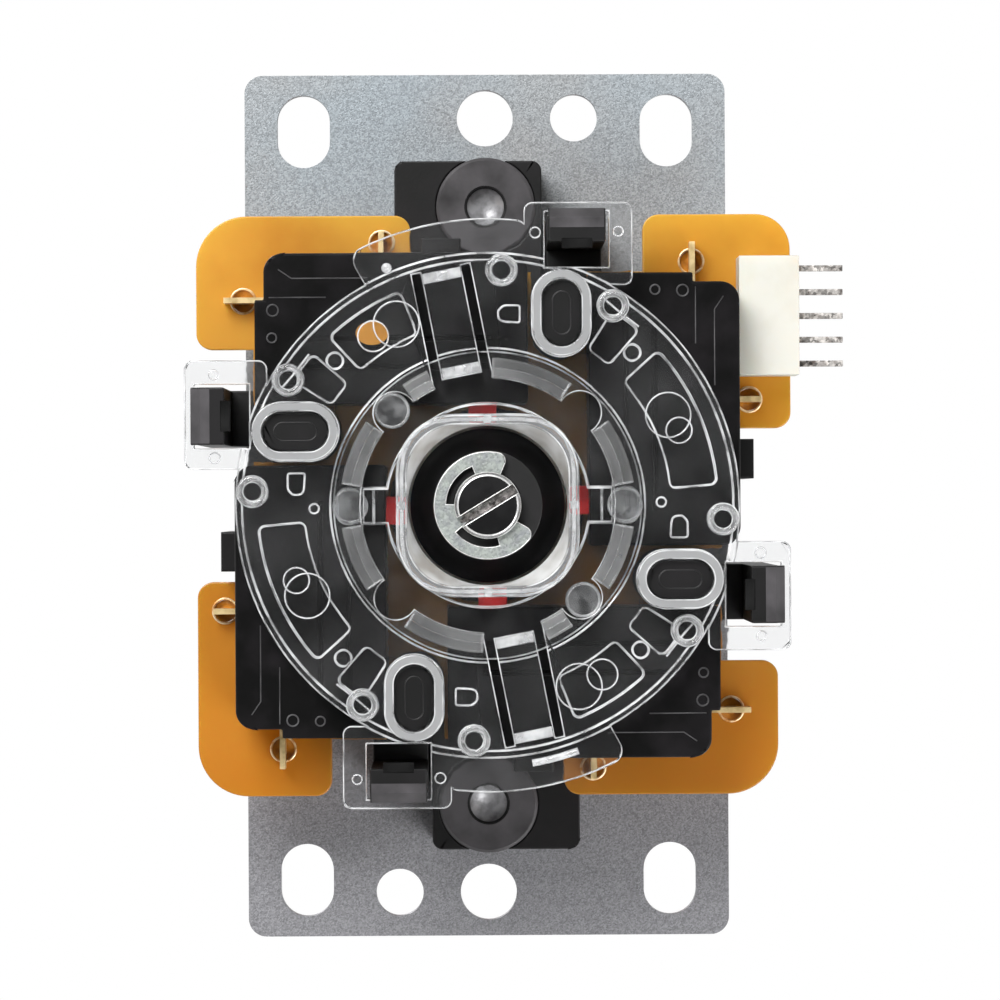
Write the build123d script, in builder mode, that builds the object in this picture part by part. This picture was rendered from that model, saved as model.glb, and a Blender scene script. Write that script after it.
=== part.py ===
from build123d import *
import os
from math import cos, radians, sin, sqrt

os.makedirs("parts", exist_ok=True)

# Arcade joystick lever, in millimetres.
# The origin is the centre of the panel face of the mounting plate, on the shaft axis.
# +Z points up to the ball, +X along the plate, and the connector pins point along -Y.
# Switches, hooks, ears and board lobes repeat four times round the shaft, a quarter turn apart.
quarter_turns = 4
half_turns = 2

# Fits
running_clearance = 0.05
seat_clearance = 0.1
board_clearance = 0.3

# Mounting plate
plate_length = 95.0
plate_width = 53.0
plate_thickness = 1.6
plate_corner_radius = 2.0
slot_end_distance = 6.2
slot_side_distance = 6.5
slot_length = 8.0
slot_width = 5.8
round_hole_end_distance = 4.8
large_hole_radius = 3.1
small_hole_radius = 2.6
small_hole_offset = 9.8
lever_hole_radius = 8.0

# Housing
housing_width = 46.0
housing_corner_radius = 4.0
housing_wall = 1.8
housing_depth = 13.3
well_depth = 1.4
pocket_roof = 2.4
rib_thickness = 1.6
socket_wall = 2.2
mouth_radius = 6.2
end_block_reach = 37.4
end_block_width = 16.0
end_block_shift = 1.9
end_block_depth = 8.4
end_block_corner_radius = 1.1
boss_radius = 5.4
boss_recess = 0.7
boss_wall = 0.9
wall_rib_count = 5
wall_rib_depth = 0.6

# Screws that hold the housing on the plate
screw_spacing = 64.8
screw_radius = 1.95
screw_head_radius = 3.4
screw_head_height = 1.5
screw_length = 7.5
screw_head_taper = 12.0
driver_cross_length = 3.2
driver_cross_width = 0.7
driver_cross_depth = 0.8

# Pivot
pivot_radius = 8.0
pivot_inset = 0.3
pivot_top_cut = 4.9
pivot_bottom_cut = 4.6
shaft_radius = 4.75
lower_shaft_radius = 3.5
tilt_limit = 5.0
tilt_clearance = 0.11

# Spring seat and spring
seat_flange_radius = 9.2
seat_flange_thickness = 0.8
seat_hub_radius = 5.6
seat_hub_wall = 1.1
seat_hub_gap = 0.75
spring_wire_radius = 0.5
spring_wire_sides = 6
spring_mean_radius = 5.4
spring_pitch = 2.1

# Circuit board
board_thickness = 1.6
board_reach = 31.1
board_short_arm_end = 16.8
board_long_arm_end = 8.1
board_arm_root = 25.0
board_hole_radius = 10.4
board_corner_radius = 5.4
board_arm_radius = 1.6
board_long_arm_radius = 2.2
connector_lobe_reach = 32.6
connector_lobe_radius = 3.75
connector_lobe = 1

# Microswitches
switch_length = 27.75
switch_width = 15.9
switch_thickness = 10.3
switch_cover_thickness = 2.6
switch_inner_face = 10.7
switch_end_past_axis = 4.3
switch_corner_radius = 2.0
switch_shoulder_length = 0.95
switch_shoulder_width = 11.0
switch_groove_width = 0.3
switch_groove_depth = 0.2
switch_groove_places = (14.6, 17.6)
switch_groove_length = 20.0
plunger_axis_shift = -0.5
plunger_level = 5.0
plunger_width = 3.0
plunger_height = 2.4
plunger_gap = 0.25
plunger_length = 4.4
plunger_nose_depth = 0.45
channel_depth = 6.6

# Switch terminals
blade_thickness = 0.6
blade_height = 2.6
common_blade_length = 4.6
common_blade_y = 22.0
side_blade_length = 2.7
side_blade_x = -11.2
solder_tail_width = 1.1
solder_tail_rise = 0.5
solder_hole_radius = 1.2
common_tail_reach = 2.6
side_tail_reach = 1.55

# Connector
connector_length = 12.7
connector_width = 6.4
connector_height = 5.8
connector_centre_x = -20.0
connector_gap = 0.2
connector_wall = 0.8
connector_mouth_depth = 4.6
pin_count = 5
pin_pitch = 2.54
pin_width = 0.64
pin_overhang = 4.8
pin_level = 2.9
pin_setback = 0.6

# Actuator and clip
actuator_radius = 8.15
actuator_skirt_radius = 7.3
actuator_end_radius = 5.75
actuator_top_gap = 2.0
actuator_band_height = 7.2
actuator_shoulder_height = 0.8
actuator_wall = 1.8
actuator_floor = 4.4
actuator_end_height = 2.0
clip_radius = 5.65
clip_thickness = 0.8
clip_tooth_radius = 2.85
clip_band_inner_radius = 4.35
clip_window_start = 21.0
clip_window_end = 87.0
clip_mouth_half_angle = 48.0
clip_tip_radius = 0.9
clip_back_angle = 71.0
groove_radius = 2.8

# Shaft and ball
shaft_end_depth = 31.2
shaft_tail = 1.8
shaft_end_chamfer = 0.35
driver_slot_width = 1.05
driver_slot_depth = 1.1
driver_slot_angle = 59.0
ball_radius = 17.5
ball_height = 40.0
ball_flat = 16.0
thread_radius = 3.0
thread_length = 13.0
washer_radius = 17.5
washer_hole_radius = 6.3
washer_thickness = 1.0
washer_edge_bevel = 0.3

# Gate plate
gate_gap = 0.6
gate_thickness = 2.0
gate_radius = 26.4
gate_edge_width = 0.7
gate_edge_height = 0.3
wing_radius = 30.05
wing_start = -28.9
wing_end = 9.0
wing_corner_radius = 1.5
ear_reach = 31.7
ear_centre = 9.6
ear_width = 11.4
ear_corner_radius = 0.95
window_inner = 24.9
window_outer = 30.7
window_centre = 9.45
window_width = 6.7
gate_hole_radius = 13.3
rotor_recess_radius = 16.5
notch_radius = 2.2
notch_centre_radius = 13.7
tongue_angle = -11.0
tongue_width = 4.3
tongue_slot_width = 0.95
tongue_reach = 25.2
tongue_tip = 13.75
oval_centre_x = 20.05
oval_centre_y = 7.8
oval_length = 9.0
oval_width = 6.1
oval_wall = 0.95
oval_rise = 2.4
pocket_depth = 0.9
long_pocket_inner = 19.2
long_pocket_outer = 24.1
long_pocket_start = 48.0
long_pocket_end = 85.0
short_pocket_inner = 19.4
short_pocket_outer = 24.2
short_pocket_start = -43.0
short_pocket_end = -22.0
pocket_corner_radius = 0.7
side_pocket_inner = 19.4
side_pocket_outer = 24.2
side_pocket_start = 33.0
side_pocket_end = 41.2
ring_outer_radius = 1.6
ring_inner_radius = 1.05
ring_rise = 0.35
stop_ring_x = 24.6
stop_ring_y = 1.56
slash_ring_x = 20.8
slash_ring_y = 13.2
dimple_radius = 0.85
dimple_depth = 0.25
dimple_x = 15.9
dimple_y = 15.2

# Gate ring, the rotor with the square opening
rotor_radius = 16.2
rotor_thickness = 0.9
rotor_play = 0.2
hub_radius = 10.7
collar_half_width = 9.45
collar_corner_radius = 6.1
opening_corner_radius = 5.2
collar_length = 3.5
lug_reach = 13.05
lug_width = 3.7
lug_rise = 1.0
knob_recess_reach = 15.8
knob_recess_depth = 0.35
knob_recess_radius = 1.2

# Posts and hooks of the housing that carry the gate plate
post_length = 8.4
post_width = 5.5
peg_side_gap = 0.12
peg_stop_short = 1.0
post_board_gap = 0.3
hook_width = 6.0
hook_leg_thickness = 3.0
hook_head_reach = 0.55
hook_head_height = 1.6
hook_head_land = 0.5
hook_side_gap = 0.25
clip_post_width = 4.2
clip_post_centre = -4.8
clip_post_thickness = 1.6
clip_post_height = 5.5

# Levels along the shaft
plate_bottom = -plate_thickness
board_top = plate_bottom - housing_depth
housing_underside = board_top + well_depth
pivot_depth = -housing_underside - pivot_inset - pivot_bottom_cut
seat_gap = seat_flange_radius * sin(radians(tilt_limit)) + tilt_clearance
board_bottom = board_top - board_thickness
switch_bottom = board_bottom - switch_thickness
cover_top = switch_bottom + switch_cover_thickness
gate_top = switch_bottom - gate_gap
gate_bottom = gate_top - gate_thickness
oval_bottom = gate_bottom - oval_rise
rotor_top = switch_bottom - rotor_play
rotor_bottom = rotor_top - rotor_thickness
collar_bottom = rotor_bottom - collar_length
plunger_height_level = board_bottom - plunger_level
seat_top = housing_underside - seat_gap
seat_bottom = seat_top - seat_flange_thickness
pivot_bottom = -pivot_depth - pivot_bottom_cut
pivot_top = -pivot_depth + pivot_top_cut
actuator_top = seat_bottom - actuator_top_gap
actuator_band_bottom = actuator_top - actuator_band_height
actuator_shoulder_bottom = actuator_band_bottom - actuator_shoulder_height
clip_top = shaft_tail - shaft_end_depth
clip_bottom = clip_top - clip_thickness
actuator_bottom = clip_top
actuator_sway = (-actuator_bottom - pivot_depth) * sin(radians(tilt_limit))
opening_half_width = actuator_end_radius + sqrt(2) * actuator_sway + tilt_clearance
spring_bottom = actuator_bottom + actuator_floor
shaft_shoulder = ball_height - ball_flat
end_block_bottom = plate_bottom - end_block_depth

# Switch place seen on the -Y side; the others are turned copies
switch_centre_x = switch_end_past_axis - switch_length / 2
switch_centre_y = -switch_inner_face - switch_width / 2
switch_outer_face = switch_inner_face + switch_width
hook_outer_face = window_outer - hook_side_gap
hook_inner_face = hook_outer_face - hook_leg_thickness
post_inner_face = switch_outer_face + seat_clearance
post_outer_face = post_inner_face + clip_post_thickness

# Places worked out from the sizes above
slot_spacing_x = plate_length - 2 * slot_end_distance
slot_spacing_y = plate_width - 2 * slot_side_distance
round_hole_x = plate_length / 2 - round_hole_end_distance
socket_outer_radius = pivot_radius + running_clearance + socket_wall
pocket_width = housing_width - 2 * housing_wall
wall_rib_pitch = (housing_width - 2 * housing_corner_radius) / wall_rib_count
root_inner_face = housing_width / 2 - housing_wall
end_block_length = end_block_reach - root_inner_face
end_block_centre = (end_block_reach + root_inner_face) / 2
peg_length = oval_length - 2 * oval_wall - 2 * peg_side_gap
peg_width = oval_width - 2 * oval_wall - 2 * peg_side_gap
shoulder_centre_y = -switch_inner_face - switch_shoulder_width / 2
switch_end_x = switch_end_past_axis - switch_length
common_tail_x = switch_end_x - common_tail_reach
side_tail_y = -switch_outer_face - side_tail_reach
plunger_tip = actuator_radius + plunger_gap
channel_width = plunger_width + 2 * seat_clearance
channel_height = plunger_height + 2 * seat_clearance
wing_root_radius = gate_radius - 2 * wing_corner_radius
ear_root = window_inner - 2 * ear_corner_radius
tongue_root = gate_hole_radius - tongue_slot_width
tongue_opening = tongue_width + 2 * tongue_slot_width
hub_root = opening_half_width + seat_clearance
actuator_bore = lower_shaft_radius + running_clearance


def level(height, turn=0.0):
    """Return the horizontal plane at a height, turned about the shaft axis by degrees."""
    return Plane.XY.offset(height).rotated((0, 0, turn))


def from_image_up(angle):
    """Return the angle from +X of a direction counted from -X towards -Y."""
    return 180.0 + angle


def ring_stretch(inner, outer, start, end, corner_radius):
    """Return the face between two radii and two directions counted from -X towards -Y."""
    sweep_angle = end - start
    with BuildSketch(mode=Mode.PRIVATE) as stretch:
        with BuildLine():
            outer_arc = CenterArc((0, 0), outer, from_image_up(start), sweep_angle)
            inner_arc = CenterArc((0, 0), inner, from_image_up(start), sweep_angle)
            Line(outer_arc @ 0, inner_arc @ 0)
            Line(outer_arc @ 1, inner_arc @ 1)
        make_face()
        fillet(stretch.vertices(), corner_radius)
    return stretch.sketch


def write(piece, name):
    """Label a finished piece and write it to its own file."""
    piece.part.label = name
    export_step(piece.part, f"parts/{name}.step")


# Mounting plate: slots at the corners, a round pair at each end, the lever hole in the middle
with BuildPart() as mounting_plate:
    with BuildSketch(level(plate_bottom)):
        RectangleRounded(plate_length, plate_width, plate_corner_radius)
        with GridLocations(slot_spacing_x, slot_spacing_y, 2, 2):
            SlotOverall(slot_length, slot_width, mode=Mode.SUBTRACT)
        Circle(lever_hole_radius, mode=Mode.SUBTRACT)
        with PolarLocations(0, half_turns):
            with Locations((-round_hole_x, 0)):
                Circle(large_hole_radius, mode=Mode.SUBTRACT)
            with Locations((-round_hole_x, -small_hole_offset)):
                Circle(small_hole_radius, mode=Mode.SUBTRACT)
            with Locations((screw_spacing / 2, 0)):
                Circle(screw_radius + seat_clearance, mode=Mode.SUBTRACT)
    extrude(amount=plate_thickness)
write(mounting_plate, "mounting_plate")

# Head of one gate hook: it catches under the bar of the ear, and its ramp lets the ear spring over
with BuildPart() as hook_head:
    with BuildSketch(Plane.XZ.offset(window_centre - hook_width / 2)):
        with BuildLine():
            Polyline(
                (-hook_inner_face, gate_bottom),
                (-hook_outer_face - hook_head_reach, gate_bottom),
                (-hook_outer_face - hook_head_reach, gate_bottom - hook_head_land),
                (-hook_outer_face + hook_head_land, gate_bottom - hook_head_height),
                (-hook_inner_face, gate_bottom - hook_head_height),
                close=True,
            )
        make_face()
    extrude(amount=hook_width)

# Housing: a ribbed moulding with the ball socket, end blocks, gate posts, hooks and switch posts
with BuildPart() as housing:
    with BuildSketch(level(plate_bottom)):
        RectangleRounded(housing_width, housing_width, housing_corner_radius)
    extrude(amount=-housing_depth)
    # Ribs down the outer walls
    with BuildSketch(level(plate_bottom)):
        with PolarLocations(0, quarter_turns):
            with Locations((housing_width / 2, 0)):
                with GridLocations(0, wall_rib_pitch, 1, wall_rib_count):
                    Rectangle(2 * wall_rib_depth, rib_thickness)
    extrude(amount=-housing_depth)
    # Pockets between the socket wall, the cross ribs and the outer walls
    with BuildSketch(level(board_top)):
        RectangleRounded(pocket_width, pocket_width, housing_corner_radius - housing_wall)
        Circle(socket_outer_radius, mode=Mode.SUBTRACT)
        Rectangle(housing_width, rib_thickness, mode=Mode.SUBTRACT)
        Rectangle(rib_thickness, housing_width, mode=Mode.SUBTRACT)
    extrude(amount=housing_depth - pocket_roof, mode=Mode.SUBTRACT)
    # The socket wall and the ribs stop short of the board
    with BuildSketch(level(board_top)):
        Circle(pocket_width / 2)
    extrude(amount=well_depth, mode=Mode.SUBTRACT)
    # Ball socket, open below, with the mouth for the shaft above
    with Locations((0, 0, -pivot_depth)):
        Sphere(pivot_radius + running_clearance, mode=Mode.SUBTRACT)
    with BuildSketch(level(-pivot_depth)):
        Circle(pivot_radius + running_clearance)
    extrude(amount=housing_underside + pivot_depth, mode=Mode.SUBTRACT)
    with BuildSketch(level(plate_bottom)):
        Circle(mouth_radius)
    extrude(amount=plate_thickness - pivot_depth, mode=Mode.SUBTRACT)
    # End blocks that take the screws
    with BuildSketch(level(plate_bottom)):
        with PolarLocations(0, half_turns):
            with Locations((-end_block_centre, end_block_shift)):
                RectangleRounded(end_block_length, end_block_width, end_block_corner_radius)
    extrude(amount=-end_block_depth)
    # Roots of the hooks and of the switch posts, above the board
    with BuildSketch(level(plate_bottom)):
        with PolarLocations(0, quarter_turns):
            with Locations((-(root_inner_face + hook_outer_face) / 2, -window_centre)):
                Rectangle(hook_outer_face - root_inner_face, hook_width)
            with Locations((clip_post_centre, -(root_inner_face + post_outer_face) / 2)):
                Rectangle(clip_post_width, post_outer_face - root_inner_face)
    extrude(amount=board_clearance - housing_depth)
    # Legs of the hooks, down to the heads
    with BuildSketch(level(plate_bottom)):
        with PolarLocations(0, quarter_turns):
            with Locations((-(hook_inner_face + hook_outer_face) / 2, -window_centre)):
                Rectangle(hook_leg_thickness, hook_width)
    extrude(amount=gate_bottom - plate_bottom)
    with PolarLocations(0, quarter_turns):
        add(hook_head.part)
    # Posts beside the outer face of each switch
    with BuildSketch(level(plate_bottom)):
        with PolarLocations(0, quarter_turns):
            with Locations((clip_post_centre, -(post_inner_face + post_outer_face) / 2)):
                Rectangle(clip_post_width, clip_post_thickness)
    extrude(amount=board_bottom - clip_post_height - plate_bottom)
    # Oval posts between the switches; the gate plate stands on their shoulders
    with BuildSketch(level(gate_top)):
        with PolarLocations(0, quarter_turns):
            with Locations((-oval_centre_x, -oval_centre_y)):
                SlotOverall(post_length, post_width)
    extrude(amount=plate_bottom - gate_top - pocket_roof / 2)
    with BuildSketch(level(oval_bottom + peg_stop_short)):
        with PolarLocations(0, quarter_turns):
            with Locations((-oval_centre_x, -oval_centre_y)):
                SlotOverall(peg_length, peg_width)
    extrude(amount=gate_top - oval_bottom - peg_stop_short)
    # Screw bores, each inside a round boss set off by a groove
    with BuildSketch(level(plate_bottom)):
        with GridLocations(screw_spacing, 0, half_turns, 1):
            Circle(screw_radius + running_clearance)
    extrude(amount=-end_block_depth, mode=Mode.SUBTRACT)
    with BuildSketch(level(end_block_bottom)):
        with GridLocations(screw_spacing, 0, half_turns, 1):
            Circle(boss_radius)
            Circle(screw_radius + boss_wall, mode=Mode.SUBTRACT)
    extrude(amount=boss_recess, mode=Mode.SUBTRACT)
write(housing, "housing")

# Screws down through the plate into the end blocks
with BuildPart() as plate_screws:
    with BuildSketch(level(0)):
        with GridLocations(screw_spacing, 0, half_turns, 1):
            Circle(screw_head_radius)
    extrude(amount=screw_head_height, taper=screw_head_taper)
    with BuildSketch(level(0)):
        with GridLocations(screw_spacing, 0, half_turns, 1):
            Circle(screw_radius)
    extrude(amount=-screw_length)
    with BuildSketch(level(screw_head_height)):
        with GridLocations(screw_spacing, 0, half_turns, 1):
            Rectangle(driver_cross_length, driver_cross_width)
            Rectangle(driver_cross_width, driver_cross_length)
    extrude(amount=-driver_cross_depth, mode=Mode.SUBTRACT)
write(plate_screws, "plate_screws")


def board_lobe(reach, corner_radius):
    """Return the lobe at the -X +Y corner, with its three free corners rounded."""
    with BuildSketch(mode=Mode.PRIVATE) as lobe:
        with Locations((-(reach + board_short_arm_end) / 2, (board_reach + board_long_arm_end) / 2)):
            Rectangle(reach - board_short_arm_end, board_reach - board_long_arm_end)
        corners = lobe.vertices()
        outer = corners.sort_by_distance((-reach, board_reach))[0]
        long_arm = corners.sort_by_distance((-reach, board_long_arm_end))[0]
        short_arm = corners.sort_by_distance((-board_short_arm_end, board_reach))[0]
        fillet(outer, corner_radius)
        fillet(long_arm, board_long_arm_radius)
        fillet(short_arm, board_arm_radius)
    return lobe.sketch


# Circuit board: a square with a lobe at each corner, its arms reaching round the switches
with BuildPart() as circuit_board:
    with BuildSketch(level(board_bottom)):
        Rectangle(2 * board_arm_root, 2 * board_arm_root)
        for number in range(quarter_turns):
            with Locations(Location((0, 0, 0), (0, 0, 90 * number))):
                if number == connector_lobe:
                    add(board_lobe(connector_lobe_reach, connector_lobe_radius))
                else:
                    add(board_lobe(board_reach, board_corner_radius))
        Circle(board_hole_radius, mode=Mode.SUBTRACT)
        with PolarLocations(0, quarter_turns):
            # Room for the oval posts, and the holes for the switch tails
            with Locations((-oval_centre_x - post_length / 2, -oval_centre_y)):
                SlotOverall(
                    2 * post_length + 2 * post_board_gap,
                    post_width + 2 * post_board_gap,
                    mode=Mode.SUBTRACT,
                )
            with Locations((common_tail_x, -common_blade_y), (side_blade_x, side_tail_y)):
                Circle(solder_hole_radius, mode=Mode.SUBTRACT)
    extrude(amount=board_thickness)
write(circuit_board, "circuit_board")


def switch_face():
    """Return the outline of the switch on the -Y side, with its shoulder beside the end tab."""
    with BuildSketch(mode=Mode.PRIVATE) as outline:
        with Locations((switch_centre_x, switch_centre_y)):
            Rectangle(switch_length, switch_width)
        outer_corners = outline.vertices().group_by(Axis.Y)[0]
        fillet(outer_corners, switch_corner_radius)
        with Locations((switch_end_x, shoulder_centre_y)):
            Rectangle(2 * switch_shoulder_length, switch_shoulder_width)
    return outline.sketch


def outward_plane(turn, distance):
    """Return the upright plane at a distance from the axis, facing outward from the -Y side."""
    angle = radians(turn)
    outward = (sin(angle), -cos(angle), 0)
    along = (cos(angle), sin(angle), 0)
    return Plane(origin=(0, 0, 0), x_dir=along, z_dir=outward).offset(distance)


# Four microswitches: a case with the plunger channel, a cover, a plunger and two tabs
for number in range(quarter_turns):
    turn = 90 * number

    with BuildPart() as switch_case:
        with BuildSketch(level(cover_top, turn)):
            add(switch_face())
        extrude(amount=board_bottom - cover_top)
        with BuildSketch(outward_plane(turn, switch_inner_face)):
            with Locations((plunger_axis_shift, plunger_height_level)):
                Rectangle(channel_width, channel_height)
        extrude(amount=channel_depth, mode=Mode.SUBTRACT)
    write(switch_case, f"switch_case_{number + 1}")

    with BuildPart() as switch_cover:
        with BuildSketch(level(switch_bottom, turn)):
            add(switch_face())
        extrude(amount=switch_cover_thickness)
        with BuildSketch(level(switch_bottom, turn)):
            for groove_y in switch_groove_places:
                with Locations((switch_centre_x, -groove_y)):
                    Rectangle(switch_groove_length, switch_groove_width)
        extrude(amount=switch_groove_depth, mode=Mode.SUBTRACT)
    write(switch_cover, f"switch_cover_{number + 1}")

    with BuildPart() as plunger:
        with BuildSketch(outward_plane(turn, plunger_tip)):
            with Locations((plunger_axis_shift, plunger_height_level)):
                Rectangle(plunger_width, plunger_height)
        extrude(amount=plunger_length)
        nose = plunger.faces().sort_by_distance((0, 0, plunger_height_level))[0]
        chamfer(nose.edges(), plunger_nose_depth)
    write(plunger, f"plunger_{number + 1}")

    with BuildPart() as switch_tabs:
        # End tab, on edge, with a tail through the board
        with BuildSketch(level(board_bottom, turn)):
            with Locations((switch_end_x - common_blade_length / 2, -common_blade_y)):
                Rectangle(common_blade_length, blade_thickness)
        extrude(amount=-blade_height)
        with BuildSketch(level(board_bottom, turn)):
            with Locations((common_tail_x, -common_blade_y)):
                Rectangle(solder_tail_width, blade_thickness)
        extrude(amount=board_thickness + solder_tail_rise)
        # Side tab
        with BuildSketch(level(board_bottom, turn)):
            with Locations((side_blade_x, -switch_outer_face - side_blade_length / 2)):
                Rectangle(blade_thickness, side_blade_length)
        extrude(amount=-blade_height)
        with BuildSketch(level(board_bottom, turn)):
            with Locations((side_blade_x, side_tail_y)):
                Rectangle(blade_thickness, solder_tail_width)
        extrude(amount=board_thickness + solder_tail_rise)
    write(switch_tabs, f"switch_tabs_{number + 1}")

# Connector: a side-entry header with an open mouth, and its row of bent pins
connector_inner_y = switch_outer_face + connector_gap
connector_centre_y = -connector_inner_y - connector_width / 2
connector_outer_y = -connector_inner_y - connector_width
pin_height = board_bottom - pin_level
with BuildPart() as connector_housing:
    with BuildSketch(level(board_bottom)):
        with Locations((connector_centre_x, connector_centre_y)):
            Rectangle(connector_length, connector_width)
    extrude(amount=-connector_height)
    with BuildSketch(Plane.XZ.offset(-connector_outer_y)):
        with Locations((connector_centre_x, board_bottom - connector_height / 2)):
            Rectangle(
                connector_length - 2 * connector_wall, connector_height - 2 * connector_wall
            )
    extrude(amount=-connector_mouth_depth, mode=Mode.SUBTRACT)
    with BuildSketch(Plane.XZ.offset(-connector_outer_y)):
        with Locations((connector_centre_x, pin_height)):
            with GridLocations(pin_pitch, 0, pin_count, 1):
                Rectangle(pin_width + 2 * running_clearance, pin_width + 2 * running_clearance)
    extrude(amount=-connector_width, mode=Mode.SUBTRACT)
write(connector_housing, "connector_housing")

with BuildPart() as connector_pins:
    with BuildSketch(Plane.XZ.offset(-connector_outer_y + pin_overhang)):
        with Locations((connector_centre_x, pin_height)):
            with GridLocations(pin_pitch, 0, pin_count, 1):
                Rectangle(pin_width, pin_width)
    extrude(amount=-(pin_overhang + connector_width - pin_setback))
write(connector_pins, "connector_pins")

half_turn_pockets = (
    (long_pocket_inner, long_pocket_outer, long_pocket_start, long_pocket_end),
    (short_pocket_inner, short_pocket_outer, short_pocket_start, short_pocket_end),
)

# Gate plate: a clear disc with wings and ears, raised ovals, tongues and shallow pockets
with BuildPart() as gate_plate:
    with BuildSketch(level(gate_bottom)):
        Circle(gate_radius)
        with PolarLocations(0, half_turns):
            add(ring_stretch(wing_root_radius, wing_radius, wing_start, wing_end, wing_corner_radius))
        with PolarLocations(0, quarter_turns):
            with Locations((-(ear_reach + ear_root) / 2, -ear_centre)):
                RectangleRounded(ear_reach - ear_root, ear_width, ear_corner_radius)
        # Windows for the hooks, bores through the ovals
        with PolarLocations(0, quarter_turns):
            with Locations((-(window_inner + window_outer) / 2, -window_centre)):
                Rectangle(window_outer - window_inner, window_width, mode=Mode.SUBTRACT)
            with Locations((-oval_centre_x, -oval_centre_y)):
                SlotOverall(oval_length - 2 * oval_wall, oval_width - 2 * oval_wall, mode=Mode.SUBTRACT)
        # Centre hole with finger notches on the diagonals
        Circle(gate_hole_radius, mode=Mode.SUBTRACT)
        with PolarLocations(0, quarter_turns, start_angle=45):
            with Locations((notch_centre_radius, 0)):
                Circle(notch_radius, mode=Mode.SUBTRACT)
        # Slots either side of the two tongues
        with PolarLocations(0, half_turns, start_angle=tongue_angle):
            with Locations((-(tongue_reach + tongue_root) / 2, 0)):
                Rectangle(tongue_reach - tongue_root, tongue_opening, mode=Mode.SUBTRACT)
            with Locations((-(tongue_reach + tongue_tip) / 2, 0)):
                Rectangle(tongue_reach - tongue_tip, tongue_width)
    extrude(amount=gate_thickness)
    # Rim round the edge of the disc, and the oval rims that the lever stands on
    with BuildSketch(level(gate_bottom)):
        Circle(gate_radius)
        Circle(gate_radius - gate_edge_width, mode=Mode.SUBTRACT)
        with PolarLocations(0, quarter_turns):
            with Locations((-(window_inner + window_outer) / 2, -window_centre)):
                Rectangle(window_outer - window_inner, window_width, mode=Mode.SUBTRACT)
    extrude(amount=-gate_edge_height)
    with BuildSketch(level(gate_bottom)):
        with PolarLocations(0, quarter_turns):
            with Locations((-oval_centre_x, -oval_centre_y)):
                SlotOverall(oval_length, oval_width)
                SlotOverall(oval_length - 2 * oval_wall, oval_width - 2 * oval_wall, mode=Mode.SUBTRACT)
    extrude(amount=-oval_rise)
    # Low rings that mark the stops
    with BuildSketch(level(gate_bottom)):
        with PolarLocations(0, quarter_turns):
            with Locations((-stop_ring_x, -stop_ring_y), (-slash_ring_x, -slash_ring_y)):
                Circle(ring_outer_radius)
                Circle(ring_inner_radius, mode=Mode.SUBTRACT)
    extrude(amount=-ring_rise)
    # Recess above for the rotor
    with BuildSketch(level(gate_top)):
        Circle(rotor_recess_radius)
    extrude(amount=rotor_bottom - seat_clearance - gate_top, mode=Mode.SUBTRACT)
    # Shallow pockets in the lower face
    with BuildSketch(level(gate_bottom)):
        with PolarLocations(0, half_turns):
            for inner, outer, start, end in half_turn_pockets:
                add(ring_stretch(inner, outer, start, end, pocket_corner_radius))
        with PolarLocations(0, quarter_turns):
            add(
                ring_stretch(
                    side_pocket_inner,
                    side_pocket_outer,
                    side_pocket_start,
                    side_pocket_end,
                    pocket_corner_radius,
                )
            )
            with Locations((-slash_ring_x, -slash_ring_y)):
                Circle(ring_outer_radius, mode=Mode.SUBTRACT)
    extrude(amount=pocket_depth, mode=Mode.SUBTRACT)
    with BuildSketch(level(gate_bottom)):
        with PolarLocations(0, quarter_turns):
            with Locations((-dimple_x, -dimple_y)):
                Circle(dimple_radius)
    extrude(amount=dimple_depth, mode=Mode.SUBTRACT)
write(gate_plate, "gate_plate")

# Gate ring: a flat rotor under the rim, with a rounded square collar that bounds the lever
with BuildPart() as gate_ring:
    with BuildSketch(level(rotor_top)):
        Circle(rotor_radius)
    extrude(amount=-rotor_thickness)
    with BuildSketch(level(rotor_bottom)):
        Circle(hub_radius)
        with PolarLocations(0, half_turns, start_angle=90):
            with Locations(((lug_reach + hub_root) / 2, 0)):
                Rectangle(lug_reach - hub_root, lug_width)
    extrude(amount=-lug_rise)
    with BuildSketch(level(rotor_bottom)):
        with PolarLocations(0, half_turns, start_angle=90):
            with Locations(((knob_recess_reach + lug_reach) / 2, 0)):
                RectangleRounded(knob_recess_reach - lug_reach, lug_width, knob_recess_radius)
    extrude(amount=knob_recess_depth, mode=Mode.SUBTRACT)
    with BuildSketch(level(rotor_bottom)):
        RectangleRounded(2 * collar_half_width, 2 * collar_half_width, collar_corner_radius)
    extrude(amount=-collar_length)
    with BuildSketch(level(rotor_top)):
        RectangleRounded(2 * opening_half_width, 2 * opening_half_width, opening_corner_radius)
    extrude(amount=collar_bottom - rotor_top, mode=Mode.SUBTRACT)
write(gate_ring, "gate_ring")

# Pivot ball, cut flat above and below, bored for the shaft
with BuildPart() as pivot_ball:
    with Locations((0, 0, -pivot_depth)):
        Sphere(pivot_radius)
    split(bisect_by=Plane.XY.offset(pivot_top), keep=Keep.BOTTOM)
    split(bisect_by=Plane.XY.offset(pivot_bottom), keep=Keep.TOP)
    with BuildSketch(level(pivot_bottom)):
        Circle(shaft_radius + running_clearance)
    extrude(amount=pivot_top - pivot_bottom, mode=Mode.SUBTRACT)
write(pivot_ball, "pivot_ball")

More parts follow.
